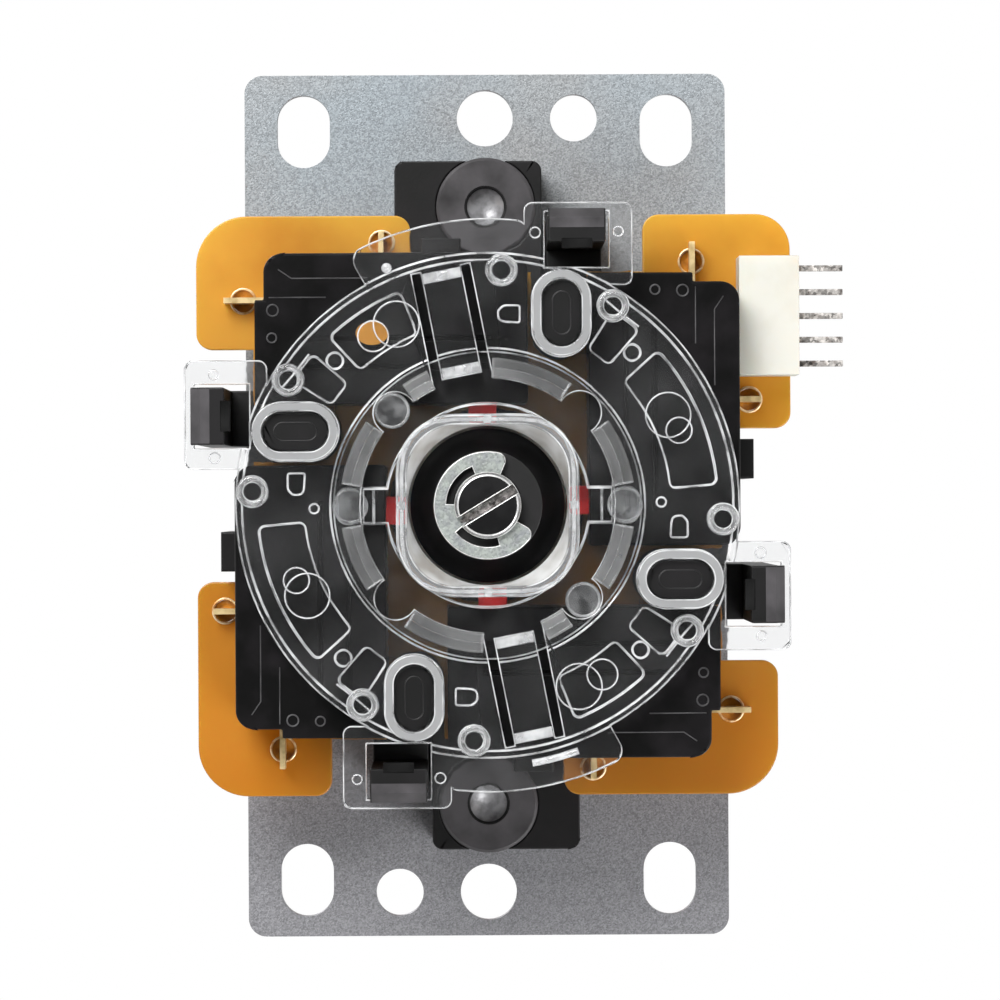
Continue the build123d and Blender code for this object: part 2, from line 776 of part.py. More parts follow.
# Spring seat: a flanged ring below the housing that tilts with the lever
with BuildPart() as spring_seat:
    with BuildSketch(level(seat_bottom)):
        Circle(seat_flange_radius)
        Circle(seat_hub_radius - seat_hub_wall, mode=Mode.SUBTRACT)
    extrude(amount=seat_flange_thickness)
    with BuildSketch(level(seat_top)):
        Circle(seat_hub_radius)
        Circle(seat_hub_radius - seat_hub_wall, mode=Mode.SUBTRACT)
    extrude(amount=pivot_bottom - seat_hub_gap - seat_top)
write(spring_seat, "spring_seat")

# Centring spring, ground flat at both ends, between the seat and the floor of the actuator
spring_height = seat_bottom - spring_bottom
with BuildPart() as centering_spring:
    with BuildLine(Plane.XY.offset(spring_bottom)):
        coil = Helix(pitch=spring_pitch, height=spring_height, radius=spring_mean_radius)
    with BuildSketch(Plane(origin=coil @ 0, z_dir=coil % 0)):
        RegularPolygon(spring_wire_radius, spring_wire_sides)
    sweep(path=coil, is_frenet=True)
    split(bisect_by=Plane.XY.offset(seat_bottom), keep=Keep.BOTTOM)
    split(bisect_by=Plane.XY.offset(spring_bottom), keep=Keep.TOP)
write(centering_spring, "centering_spring")

# Actuator: a cup that holds the spring, with the wide band that presses the plungers
with BuildPart() as actuator:
    with BuildSketch(Plane.XZ):
        with BuildLine():
            Polyline(
                (actuator_bore, actuator_bottom),
                (actuator_end_radius, actuator_bottom),
                (actuator_end_radius, actuator_bottom + actuator_end_height),
                (actuator_skirt_radius, actuator_shoulder_bottom),
                (actuator_radius, actuator_band_bottom),
                (actuator_radius, actuator_top),
                (actuator_radius - actuator_wall, actuator_top),
                (actuator_radius - actuator_wall, spring_bottom),
                (actuator_bore, spring_bottom),
                close=True,
            )
        make_face()
    revolve(axis=Axis.Z)
write(actuator, "actuator")

# Retaining clip: three teeth in the groove, two windows between them and an open mouth
with BuildPart() as e_clip:
    with BuildSketch(level(clip_bottom)) as clip_face:
        Circle(clip_radius)
        Circle(clip_tooth_radius, mode=Mode.SUBTRACT)
        for side in (1, -1):
            window_middle = side * (clip_window_start + clip_window_end) / 2
            window_sweep = clip_window_end - clip_window_start
            with BuildSketch(mode=Mode.PRIVATE) as window:
                with BuildLine():
                    band_arc = CenterArc(
                        (0, 0), clip_band_inner_radius, window_middle - window_sweep / 2, window_sweep
                    )
                    Line(band_arc @ 0, (0, 0))
                    Line((0, 0), band_arc @ 1)
                make_face()
            add(window.sketch, rotation=clip_back_angle, mode=Mode.SUBTRACT)
        with BuildSketch(mode=Mode.PRIVATE) as mouth:
            with BuildLine():
                mouth_arc = CenterArc(
                    (0, 0), 2 * clip_radius, 180 - clip_mouth_half_angle, 2 * clip_mouth_half_angle
                )
                Line(mouth_arc @ 0, (0, 0))
                Line((0, 0), mouth_arc @ 1)
            make_face()
        add(mouth.sketch, rotation=clip_back_angle, mode=Mode.SUBTRACT)
        tips = clip_face.vertices().sort_by_distance((0, 0))[-2:]
        fillet(tips, clip_tip_radius)
    extrude(amount=clip_thickness)
write(e_clip, "e_clip")

# Shaft: a shoulder at each change of size, a clip groove, a driver slot and a thread core
with BuildPart() as shaft:
    with BuildSketch(Plane.XZ):
        with BuildLine():
            Polyline(
                (0, -shaft_end_depth),
                (lower_shaft_radius - shaft_end_chamfer, -shaft_end_depth),
                (lower_shaft_radius, shaft_end_chamfer - shaft_end_depth),
                (lower_shaft_radius, clip_bottom - running_clearance),
                (groove_radius, clip_bottom - running_clearance),
                (groove_radius, clip_top),
                (lower_shaft_radius, clip_top),
                (lower_shaft_radius, pivot_bottom),
                (shaft_radius, pivot_bottom),
                (shaft_radius, shaft_shoulder),
                (thread_radius, shaft_shoulder),
                (thread_radius, shaft_shoulder + thread_length),
                (0, shaft_shoulder + thread_length),
                close=True,
            )
        make_face()
    revolve(axis=Axis.Z)
    with BuildSketch(level(-shaft_end_depth, driver_slot_angle)):
        Rectangle(2 * shaft_radius, driver_slot_width)
    extrude(amount=driver_slot_depth, mode=Mode.SUBTRACT)
write(shaft, "shaft")

# Ball top: a ball with a small flat below, bored for the thread
with BuildPart() as ball_top:
    with Locations((0, 0, ball_height)):
        Sphere(ball_radius)
    split(bisect_by=Plane.XY.offset(shaft_shoulder), keep=Keep.TOP)
    with BuildSketch(level(shaft_shoulder)):
        Circle(thread_radius + running_clearance)
    extrude(amount=thread_length + seat_clearance, mode=Mode.SUBTRACT)
write(ball_top, "ball_top")

# Dust washer, lying on the plate with room for the tilting shaft
with BuildPart() as dust_washer:
    with BuildSketch(level(0)):
        Circle(washer_radius)
        Circle(washer_hole_radius, mode=Mode.SUBTRACT)
    extrude(amount=washer_thickness)
    upper_edges = dust_washer.edges().group_by(Axis.Z)[-1]
    chamfer(upper_edges, washer_edge_bevel)
write(dust_washer, "dust_washer")
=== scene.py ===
"""Looks of the arcade joystick lever: finishes, turned pieces, small details, lamps and camera."""
import logging
import math
from dataclasses import dataclass
from enum import Enum

import bmesh
import bpy
from mathutils import Matrix, Vector


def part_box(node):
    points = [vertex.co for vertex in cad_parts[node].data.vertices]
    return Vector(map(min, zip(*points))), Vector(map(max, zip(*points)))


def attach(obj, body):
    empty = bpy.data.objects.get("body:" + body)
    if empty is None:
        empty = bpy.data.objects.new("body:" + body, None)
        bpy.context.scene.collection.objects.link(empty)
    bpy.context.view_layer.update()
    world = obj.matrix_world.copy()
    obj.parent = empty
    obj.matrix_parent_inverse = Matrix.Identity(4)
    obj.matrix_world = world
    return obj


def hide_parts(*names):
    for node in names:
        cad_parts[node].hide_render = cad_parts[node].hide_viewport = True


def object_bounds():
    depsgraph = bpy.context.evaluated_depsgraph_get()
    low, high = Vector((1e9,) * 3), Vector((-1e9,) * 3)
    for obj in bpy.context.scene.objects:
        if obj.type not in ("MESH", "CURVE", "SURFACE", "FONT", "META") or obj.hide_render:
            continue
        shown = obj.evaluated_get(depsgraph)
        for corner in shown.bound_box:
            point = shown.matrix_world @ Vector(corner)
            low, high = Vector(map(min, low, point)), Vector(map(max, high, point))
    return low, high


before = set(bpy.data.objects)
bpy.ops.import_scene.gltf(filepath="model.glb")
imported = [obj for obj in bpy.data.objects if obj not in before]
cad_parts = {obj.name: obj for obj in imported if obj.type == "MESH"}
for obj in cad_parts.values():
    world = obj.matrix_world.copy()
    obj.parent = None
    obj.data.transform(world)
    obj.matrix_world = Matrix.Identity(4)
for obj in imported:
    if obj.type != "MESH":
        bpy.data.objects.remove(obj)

log = logging.getLogger("lever")

# Lengths are in metres and angles in degrees, where nothing else is said.
MM = 0.001
QUARTERS = 4
HALVES = 2
CAD_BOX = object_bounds()
WELD_REACH = 2.0e-6
BEVEL_ANGLE = 32.0
TURNED_SHARP = 28.0
AXIS_REACH = 1e-7
QUARTER_TURN = 90.0
FULL_TURN = 360.0
RIDGE_PROFILE = ((-0.5, 0.0), (-0.35, 0.7), (0.0, 1.0), (0.35, 0.7), (0.5, 0.0))

PATCH_DETAIL = 4.0
GRAIN_DETAIL = 3.0
RAMP_MIDDLE = 0.5
RAMP_REACH = 0.35
RAMP_TOP = 0.58
RING_DISTORTION = 1.5
BUMP_SHARE = 0.25
PLASTIC_IOR = 1.5
# Reach along X of the painted shade gradient.
SHADE_GRADIENT_REACH = 30 * MM
HUB_START = 20 * MM
HUB_END = 27 * MM
CLOUD_LOW = 0.35
CLOUD_HIGH = 0.65
WHITE = (1.0, 1.0, 1.0, 1.0)

Place = tuple[float, float]
Circle = tuple[float, float, float]
Outline = list[Place]
Faces = list[tuple[int, ...]]
Socket = bpy.types.NodeSocket
Inputs = dict[str | int, float | tuple[float, ...] | Socket]


class Grain(Enum):
    """Kinds of fine surface relief."""

    CRYSTAL = "crystal"
    MOULDED = "moulded"
    TURNED = "turned"
    SMOOTH = "smooth"


class Shade(Enum):
    """Colours of the lever, as linear red, green and blue; a few stand for painted shade and painted
    highlight.
    """

    ZINC = (0.30, 0.335, 0.36)
    ZINC_DARK = (0.27, 0.28, 0.30)
    ZINC_WARM = (0.31, 0.31, 0.31)
    # Painted shade: the zinc plate towards +X.
    ZINC_SHADED = (0.27, 0.27, 0.285)
    CLIP = (0.37, 0.40, 0.375)
    # Dark grey of the screw tips, and the painted sheen on the black boss seats and hook ramps.
    BLACK_GREY = (0.060, 0.056, 0.060)
    BLACK = (0.004, 0.004, 0.004)
    # Painted shade in the hook slots.
    PIT = (0.0015, 0.0015, 0.0015)
    BLACK_WORN = (0.012, 0.011, 0.012)
    AMBER = (0.63, 0.27, 0.018)
    AMBER_DEEP = (0.48, 0.18, 0.008)
    # Painted shade: the board towards +X.
    AMBER_SHADED = (0.35, 0.115, 0.003)
    # Painted shade in the holes of the board.
    AMBER_DARK = (0.16, 0.045, 0.006)
    IVORY = (0.86, 0.84, 0.79)
    HEADER = (0.62, 0.58, 0.51)
    HEADER_WARM = (0.56, 0.51, 0.43)
    CREAM_DEEP = (0.60, 0.52, 0.42)
    TIN = (0.44, 0.42, 0.40)
    TIN_DARK = (0.10, 0.08, 0.07)
    CLEAR = (0.965, 0.970, 0.975)
    HAZE = (0.86, 0.87, 0.88)
    # Painted highlight on rounded metal edges.
    EDGE = (0.88, 0.88, 0.86)
    # Painted highlight on the mould lines and dimples of the covers.
    BLACK_EDGE = (0.055, 0.054, 0.056)
    STEEL = (0.46, 0.46, 0.47)
    STEEL_DARK = (0.33, 0.33, 0.34)
    RED = (0.72, 0.012, 0.012)
    RED_DEEP = (0.34, 0.006, 0.008)
    BRASS = (0.86, 0.66, 0.34)
    BRASS_DARK = (0.52, 0.36, 0.15)
    BALL_RED = (0.46, 0.004, 0.006)
    SOLDER = (0.86, 0.70, 0.46)
    FLOOR = (0.86, 0.86, 0.86)


class Graph:
    """The nodes of a material or a world, added with their inputs set and linked."""

    def __init__(self, owner: bpy.types.Material | bpy.types.World) -> None:
        """Take the nodes of a material or a world."""
        owner.use_nodes = True
        self.nodes = owner.node_tree.nodes
        self.links = owner.node_tree.links

    def feed(self, node: bpy.types.Node, inputs: Inputs) -> bpy.types.Node:
        """Set or link inputs of a node.

        Args:
            node: the node.
            inputs: for each input its value, or the output that feeds it.

        Returns:
            The same node.
        """
        for name, value in inputs.items():
            if isinstance(value, Socket):
                self.links.new(value, node.inputs[name])
            else:
                node.inputs[name].default_value = value
        return node

    def add(self, kind: str, inputs: Inputs | None = None, **settings: str) -> bpy.types.Node:
        """Add a node.

        Args:
            kind: type of the node, without the words that all shader nodes share.
            inputs: for each input its value, or the output that feeds it.
            settings: the node's own choices.

        Returns:
            The new node.
        """
        node = self.nodes.new("ShaderNode" + kind)
        for name, value in settings.items():
            setattr(node, name, value)
        return self.feed(node, inputs or {})

    def span(self, value: Socket, limits: Place, results: Place = (0.0, 1.0),
             smooth: bool = False) -> Socket:
        """Map a value between two limits to another span.

        Args:
            value: the value.
            limits: where the span starts and ends.
            results: what comes out at both limits.
            smooth: whether it eases in and out.

        Returns:
            The mapped value.
        """
        ends = {"From Min": limits[0], "From Max": limits[1], "To Min": results[0],
                "To Max": results[1]}
        node = self.add("MapRange", {"Value": value, **ends},
                        interpolation_type="SMOOTHSTEP" if smooth else "LINEAR")
        return node.outputs["Result"]

    def mix(self, share: Socket, first: Socket, second: Socket) -> Socket:
        """Return the mix of two shaders."""
        return self.add("MixShader", {"Fac": share, 1: first, 2: second}).outputs["Shader"]


@dataclass(frozen=True)
class Finish:
    """A procedural finish: two colours mixed by noise, with relief and gloss.

    Attributes:
        name: name of the material.
        light: the main colour.
        dark: the colour of the patches.
        slot: the record's material slot that the finish belongs to; not used.
        metallic: how metallic the surface is, from 0 to 1.
        roughness: the lowest roughness.
        roughness_spread: how much the noise adds to the roughness.
        grain: kind of fine relief.
        grain_size: size of the relief in metres.
        relief: strength of the relief.
        patch_size: size of the colour patches in metres.
        patch_contrast: how far the patches reach towards the dark colour.
        transmission: share of light that passes through.
        subsurface: share of light scattered below the surface.
        coat: weight of a clear coat.
        specular: how strongly a plastic mirrors.
        sparkle: how much single crystals differ in brightness.
        shaded_end_colour: colour at the +X end, a painted shade that darkens the part towards +X.
        hub_shade: how much light the middle of the part keeps, from 0 to 1.
    """

    name: str
    light: Shade
    dark: Shade
    slot: str
    metallic: float = 0.0
    roughness: float = 0.4
    roughness_spread: float = 0.1
    grain: Grain = Grain.MOULDED
    grain_size: float = 0.3 * MM
    relief: float = 0.3
    patch_size: float = 6.0 * MM
    patch_contrast: float = 0.6
    transmission: float = 0.0
    subsurface: float = 0.0
    coat: float = 0.0
    specular: float = 0.5
    sparkle: float = 0.3
    shaded_end_colour: Shade | None = None
    hub_shade: float = 1.0

    def material(self) -> bpy.types.Material:
        """Return the material of this finish, made on the first call.

        Returns:
            The node material.
        """
        made = bpy.data.materials.get(self.name)
        if made is None:
            made = bpy.data.materials.new(self.name)
            self._paint(Graph(made))
        return made

    def _paint(self, graph: Graph) -> None:
        """Set the colours, the gloss and the relief of the surface.

        Args:
            graph: the nodes of the material.
        """
        place = graph.add("TexCoord").outputs["Object"]
        patches = graph.add("TexNoise", {"Scale": 1.0 / self.patch_size, "Detail": PATCH_DETAIL,
                                         "Vector": place}).outputs["Fac"]
        ramp = graph.add("ValToRGB", {"Fac": patches})
        low, high = ramp.color_ramp.elements
        low.position = RAMP_MIDDLE - RAMP_REACH * self.patch_contrast
        low.color = (*self.dark.value, 1.0)
        high.position = RAMP_TOP
        high.color = (*self.light.value, 1.0)
        colour = ramp.outputs["Color"]
        # Painted shade: the colour darkens towards +X, the side that gets less light.
        if self.shaded_end_colour is not None:
            colour = self._painted_shade_gradient(graph, place, colour)
        if self.hub_shade < 1.0:
            colour = self._hub_shaded(graph, place, colour)
        rough = graph.span(patches, (0.0, 1.0),
                           (self.roughness, self.roughness + self.roughness_spread))
        graph.feed(graph.nodes["Principled BSDF"], {
            "Base Color": colour, "Roughness": rough, "Metallic": self.metallic,
            "IOR": PLASTIC_IOR,
            "Transmission Weight": self.transmission, "Subsurface Weight": self.subsurface,
            "Coat Weight": self.coat, "Specular IOR Level": self.specular,
        })
        if self.grain is not Grain.SMOOTH:
            self._add_relief(graph, place, colour)

    def _painted_shade_gradient(self, graph: Graph, place: Socket, colour: Socket) -> Socket:
        """Paint shade as a gradient: blend the colour towards the shaded end colour along +X.

        Args:
            graph: the nodes of the material.
            place: the place on the part.
            colour: the colour before the painted shade.

        Returns:
            The colour with the painted shade.
        """
        along = graph.add("SeparateXYZ", {"Vector": place}).outputs["X"]
        share = graph.span(along, (-SHADE_GRADIENT_REACH, SHADE_GRADIENT_REACH))
        return graph.add("Mix", {"Factor": share, "A": colour, "B": (*self.shaded_end_colour.value, 1.0)},
                         data_type="RGBA").outputs["Result"]

    def _hub_shaded(self, graph: Graph, place: Socket, colour: Socket) -> Socket:
        """Darken the middle of the part, where the pieces below keep the light out.

        Args:
            graph: the nodes of the material.
            place: the place on the part.
            colour: the colour before the shade.

        Returns:
            The colour with the shade.
        """
        flat = graph.add("VectorMath", {0: place, 1: (1.0, 1.0, 0.0)}, operation="MULTIPLY")
        reach = graph.add("VectorMath", {0: flat.outputs["Vector"]}, operation="LENGTH")
        share = graph.span(reach.outputs["Value"], (HUB_START, HUB_END), (self.hub_shade, 1.0),
                           smooth=True)
        return graph.add("HueSaturation", {"Color": colour, "Value": share}).outputs["Color"]

    def _add_relief(self, graph: Graph, place: Socket, colour: Socket) -> None:
        """Add the fine relief, and for crystals the sparkle of single grains.

        Args:
            graph: the nodes of the material.
            place: the place on the part.
            colour: the surface colour.
        """
        shader = graph.nodes["Principled BSDF"]
        size = {"Scale": 1.0 / self.grain_size, "Vector": place}
        if self.grain is Grain.CRYSTAL:
            cells = graph.add("TexVoronoi", size).outputs["Color"]
            height = graph.add("RGBToBW", {"Color": cells}).outputs["Val"]
            sparkle = graph.add("Mix", {"Factor": self.sparkle, "A": colour, "B": height},
                                data_type="RGBA", blend_type="OVERLAY")
            graph.feed(shader, {"Base Color": sparkle.outputs["Result"]})
        elif self.grain is Grain.TURNED:
            height = graph.add("TexWave", {"Distortion": RING_DISTORTION, **size},
                               wave_type="RINGS", rings_direction="Z").outputs["Fac"]
        else:
            height = graph.add("TexNoise", {"Detail": GRAIN_DETAIL, **size}).outputs["Fac"]
        bump = graph.add("Bump", {"Strength": self.relief, "Height": height,
                                  "Distance": self.grain_size * BUMP_SHARE})
        graph.feed(shader, {"Normal": bump.outputs["Normal"]})


@dataclass(frozen=True)
class ClearFinish(Finish):
    """A clear moulding: it bends light, holds a little haze and lets lamps shine through.

    Attributes:
        haze: share of white scattered by the surface.
        haze_spread: how much more haze the patches add.
        lamp_share: share of a lamp's light that gets through.
        low_haze: haze added to the lowest parts.
        low_start: height where the added haze starts.
        low_end: height where the added haze is full.
    """

    light: Shade = Shade.CLEAR
    dark: Shade = Shade.CLEAR
    slot: str = "clear_plastic"
    grain: Grain = Grain.SMOOTH
    transmission: float = 1.0
    haze: float = 0.010
    haze_spread: float = 0.010
    lamp_share: float = 0.3
    low_haze: float = 0.0
    low_start: float = -29.8 * MM
    low_end: float = -31.2 * MM

    def _paint(self, graph: Graph) -> None:
        """Add haze to the clear surface and let the light of the lamps through.

        Args:
            graph: the nodes of the material.
        """
        super()._paint(graph)
        place = graph.add("TexCoord").outputs["Object"]
        clouds = graph.add("TexNoise", {"Scale": 1.0 / self.patch_size, "Vector": place})
        half = self.haze_spread / 2
        even = graph.span(clouds.outputs["Fac"], (CLOUD_LOW, CLOUD_HIGH),
                          (self.haze - half, self.haze + half))
        height = graph.add("SeparateXYZ", {"Vector": place}).outputs["Z"]
        low = graph.span(height, (self.low_start, self.low_end), (0.0, self.low_haze), smooth=True)
        total = graph.add("Math", {0: even, 1: low}).outputs["Value"]
        white = graph.add("BsdfDiffuse", {"Color": (*Shade.HAZE.value, 1.0)})
        hazy = graph.mix(total, graph.nodes["Principled BSDF"].outputs["BSDF"], white.outputs["BSDF"])
        through = (self.lamp_share, self.lamp_share, self.lamp_share, 1.0)
        window = graph.add("BsdfTransparent", {"Color": through})
        path = graph.add("LightPath")
        choice = graph.mix(path.outputs["Is Shadow Ray"], hazy, window.outputs["BSDF"])
        graph.feed(graph.nodes["Material Output"], {"Surface": choice})


# Painted shade: the plate gets darker towards +X.
ZINC = Finish(
    "zinc_plated_steel", Shade.ZINC, Shade.ZINC_WARM, "zinc_plate", metallic=0.5,
    grain=Grain.CRYSTAL, grain_size=0.14 * MM, patch_size=25 * MM, shaded_end_colour=Shade.ZINC_SHADED,
    sparkle=0.4)
CLIP_ZINC = Finish(
    "clip_zinc", Shade.CLIP, Shade.ZINC_DARK, "zinc_plate", metallic=0.6, roughness=0.35,
    roughness_spread=0.2, grain=Grain.CRYSTAL, grain_size=0.22 * MM, patch_size=1.2 * MM,
    patch_contrast=0.7)
MOULDED_BLACK = Finish(
    "moulded_black", Shade.BLACK, Shade.BLACK_WORN, "black_plastic", roughness=0.34,
    roughness_spread=0.16, grain_size=0.35 * MM, relief=0.1, patch_size=9 * MM, specular=0.3)
SWITCH_BLACK = Finish(
    "switch_black", Shade.BLACK, Shade.BLACK_WORN, "black_plastic", roughness=0.24,
    roughness_spread=0.2, grain_size=0.6 * MM, relief=0.1, patch_size=5 * MM, specular=0.1)
ACTUATOR_BLACK = Finish(
    "actuator_black", Shade.BLACK, Shade.BLACK_WORN, "black_plastic", roughness=0.34,
    roughness_spread=0.15, grain_size=0.25 * MM, relief=0.1, patch_size=3 * MM)
# Painted shade: a strip darker than the black, where the hook slots lie in shade.
SLOT_SHADE_BLACK = Finish(
    "painted_slot_shade", Shade.PIT, Shade.BLACK, "black_plastic", roughness=0.7, grain=Grain.SMOOTH,
    specular=0.2)
# Painted sheen: a paler copy of the black moulding, for the lit faces of the boss seats and hook ramps.
PAINTED_SHEEN_BLACK = Finish(
    "painted_sheen_black", Shade.BLACK_GREY, Shade.BLACK_WORN, "black_plastic", relief=0.08,
    patch_size=5 * MM)
# Painted shade: the board darkens towards +X, and in its middle where the pieces below keep the light
# out.
PHENOLIC = Finish(
    "amber_board", Shade.AMBER, Shade.AMBER_DEEP, "board_laminate", roughness=0.32,
    roughness_spread=0.12, grain_size=0.5 * MM, relief=0.06, patch_size=14 * MM, patch_contrast=0.5,
    subsurface=0.25, shaded_end_colour=Shade.AMBER_SHADED, hub_shade=0.5)
AMBER = Finish("amber", Shade.AMBER, Shade.AMBER_DEEP, "board_laminate", grain=Grain.SMOOTH)
TIP = Finish(
    "screw_tip", Shade.STEEL_DARK, Shade.BLACK_GREY, "steel", metallic=0.4, roughness=0.35,
    patch_size=1.2 * MM, patch_contrast=1.0)
# Painted shade: a dark amber cup that stands for the shaded bore of each hole.
HOLE_SHADE = Finish(
    "hole_resin", Shade.AMBER_DEEP, Shade.AMBER_DARK, "board_laminate", roughness=0.25,
    grain_size=0.5 * MM, patch_size=0.9 * MM, patch_contrast=1.0)
HEADER_WHITE = Finish(
    "header_white", Shade.HEADER, Shade.HEADER_WARM, "white_plastic", roughness=0.38,
    grain_size=0.5 * MM, relief=0.05, patch_size=5 * MM, subsurface=0.15)
TIN = Finish(
    "tinned_pins", Shade.TIN, Shade.TIN_DARK, "tinned_steel", metallic=0.4, roughness=0.30,
    roughness_spread=0.25, grain=Grain.CRYSTAL, relief=0.4, patch_size=0.8 * MM, sparkle=0.9)
CLEAR = ClearFinish(
    "clear_moulding", roughness=0.03, roughness_spread=0.05, grain=Grain.MOULDED,
    grain_size=5.0 * MM, relief=0.06, patch_size=7 * MM, low_haze=0.28)
# Painted highlight: a hazy white on the rounded edges of the clear mouldings.
CLEAR_HIGHLIGHT_EDGE = ClearFinish("painted_clear_highlight", roughness=0.08, patch_size=3 * MM, haze=0.42, haze_spread=0.5)
CLEAR_RING = ClearFinish(
    "clear_ring", roughness=0.04, roughness_spread=0.06, grain=Grain.MOULDED, grain_size=3.0 * MM,
    relief=0.06, patch_size=3 * MM, haze_spread=0.012, low_haze=0.17, low_start=-28.8 * MM)
MARK = ClearFinish("clear_mark", roughness=0.1, patch_size=2 * MM, haze=0.30, haze_spread=0.25)
CLEAR_KNOB = ClearFinish(
    "clear_knob", roughness=0.06, roughness_spread=0.05, patch_size=1.5 * MM, haze=0.10,
    haze_spread=0.12)
FROST = ClearFinish("clear_frost", roughness=0.2, patch_size=4 * MM, haze=0.04, haze_spread=0.035)
CREAM_WALL = ClearFinish(
    "cream_wall", Shade.IVORY, Shade.CREAM_DEEP, roughness=0.12, transmission=0.6,
    patch_size=4 * MM, haze=0.35, haze_spread=0.3)
# Painted highlight: a pale metal on the rounded edges of the shaft and the clip.
METAL_EDGE_HIGHLIGHT = Finish(
    "painted_metal_edge_highlight", Shade.EDGE, Shade.STEEL, "steel", metallic=0.7, roughness=0.35,
    patch_size=1.0 * MM, patch_contrast=0.7)
# Painted highlight: a paler black for the thin ridges on the covers, where light catches them.
BLACK_LINE_HIGHLIGHT = Finish(
    "painted_line_highlight_black", Shade.BLACK_EDGE, Shade.BLACK_WORN, "black_plastic", roughness=0.45,
    relief=0.1, patch_size=3 * MM)
STEEL = Finish(
    "turned_steel", Shade.STEEL, Shade.STEEL_DARK, "steel", metallic=1.0, roughness=0.16,
    roughness_spread=0.03, grain=Grain.TURNED, grain_size=0.25 * MM, relief=0.03, patch_size=4 * MM,
    patch_contrast=0.15)
SPRING_STEEL = Finish(
    "spring_steel", Shade.STEEL, Shade.STEEL_DARK, "steel", metallic=1.0, roughness=0.28,
    grain=Grain.SMOOTH, patch_size=2 * MM)
PLUNGER_RED = Finish(
    "plunger_red", Shade.RED, Shade.RED_DEEP, "red_plastic", roughness=0.3, relief=0.05,
    patch_size=2 * MM, subsurface=0.1)
BRASS = Finish(
    "brass_tabs", Shade.BRASS, Shade.BRASS_DARK, "brass", metallic=0.35, roughness=0.28,
    roughness_spread=0.15, relief=0.15, patch_size=1.2 * MM)
BALL = Finish(
    "ball_red", Shade.BALL_RED, Shade.BALL_RED, "ball_plastic", roughness=0.12,
    roughness_spread=0.06, grain_size=1.2 * MM, relief=0.02, coat=0.1, specular=0.35)
SOLDER = Finish(
    "pad_solder", Shade.SOLDER, Shade.AMBER_DEEP, "brass", metallic=0.5, roughness=0.35,
    patch_size=0.8 * MM)


def dress(node: str, finish: Finish, width: float = 0.0, segments: int = 2,
          edge: Finish | None = None, clamp: bool = False) -> None:
    """Give a node its finish and round its edges.

    Args:
        node: name of the node.
        finish: the finish of its surface.
        width: width of the rounding in metres, 0 for none.
        segments: steps across the rounding.
        edge: finish of the rounding, where it differs from the faces; the ones given paint a highlight.
        clamp: whether the rounding stays narrower than the nearest faces.
    """
    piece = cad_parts[node]
    finishes = piece.data.materials
    finishes.clear()
    finishes.append(finish.material())
    if not width:
        return
    weld = piece.modifiers.new("weld", "WELD")
    weld.merge_threshold = WELD_REACH
    bevel = piece.modifiers.new("bevel", "BEVEL")
    bevel.width = width
    bevel.segments = segments
    bevel.use_clamp_overlap = clamp
    bevel.limit_method = "ANGLE"
    bevel.angle_limit = math.radians(BEVEL_ANGLE)
    bevel.harden_normals = True
    if edge is not None:
        finishes.append(edge.material())
        bevel.material = len(finishes) - 1


def placed(name: str, data: bpy.types.ID) -> bpy.types.Object:
    """Make an object from its data and link it into the scene.

    Args:
        name: name of the object.
        data: its mesh, curve, lamp or camera.

    Returns:
        The object.
    """
    made = bpy.data.objects.new(name, data)
    bpy.context.scene.collection.objects.link(made)
    return made


def new_piece(name: str, mesh: bpy.types.Mesh, finish: Finish, body: str) -> bpy.types.Object:
    """Add a mesh to the scene as a piece that rides on a body.

    Args:
        name: name of the piece.
        mesh: its mesh, in metres in the frame.
        finish: the finish of its surface.
        body: the body that it moves with.

    Returns:
        The new object.
    """
    piece = placed(name, mesh)
    mesh.materials.append(finish.material())
    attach(piece, body)
    log.info("piece %s with %d faces", name, len(mesh.polygons))
    return piece


def smooth_mesh(name: str, points: list[Vector], faces: Faces,
                sharp: float | None = None) -> bpy.types.Mesh:
    """Make a mesh with smooth shading.

    Args:
        name: name of the mesh.
        points: its points, in metres.
        faces: the corners of each face.
        sharp: angle in degrees from which an edge shows sharp, if any does.

    Returns:
        The mesh.
    """
    mesh = bpy.data.meshes.new(name)
    mesh.from_pydata(points, [], faces)
    mesh.validate()
    for polygon in mesh.polygons:
        polygon.use_smooth = True
    if sharp is not None:
        mesh.set_sharp_from_angle(angle=math.radians(sharp))
    return mesh


def prism_mesh(name: str, first: list[Vector], second: list[Vector], caps: Faces) -> bpy.types.Mesh:
    """Join two equal outlines to a closed body with flat faces.

    Args:
        name: name of the mesh.
        first: points of one outline.
        second: points of the other outline, in the same order.
        caps: corners of the faces that fill an outline.

    Returns:
        The mesh.
    """
    count = len(first)
    faces = caps + [tuple(count + corner for corner in cap) for cap in caps]
    for index in range(count):
        after = (index + 1) % count
        faces.append((index, after, count + after, count + index))
    mesh = bpy.data.meshes.new(name)
    mesh.from_pydata(first + second, [], faces)
    shape = bmesh.new()
    shape.from_mesh(mesh)
    bmesh.ops.recalc_face_normals(shape, faces=shape.faces)
    shape.to_mesh(mesh)
    shape.free()
    return mesh


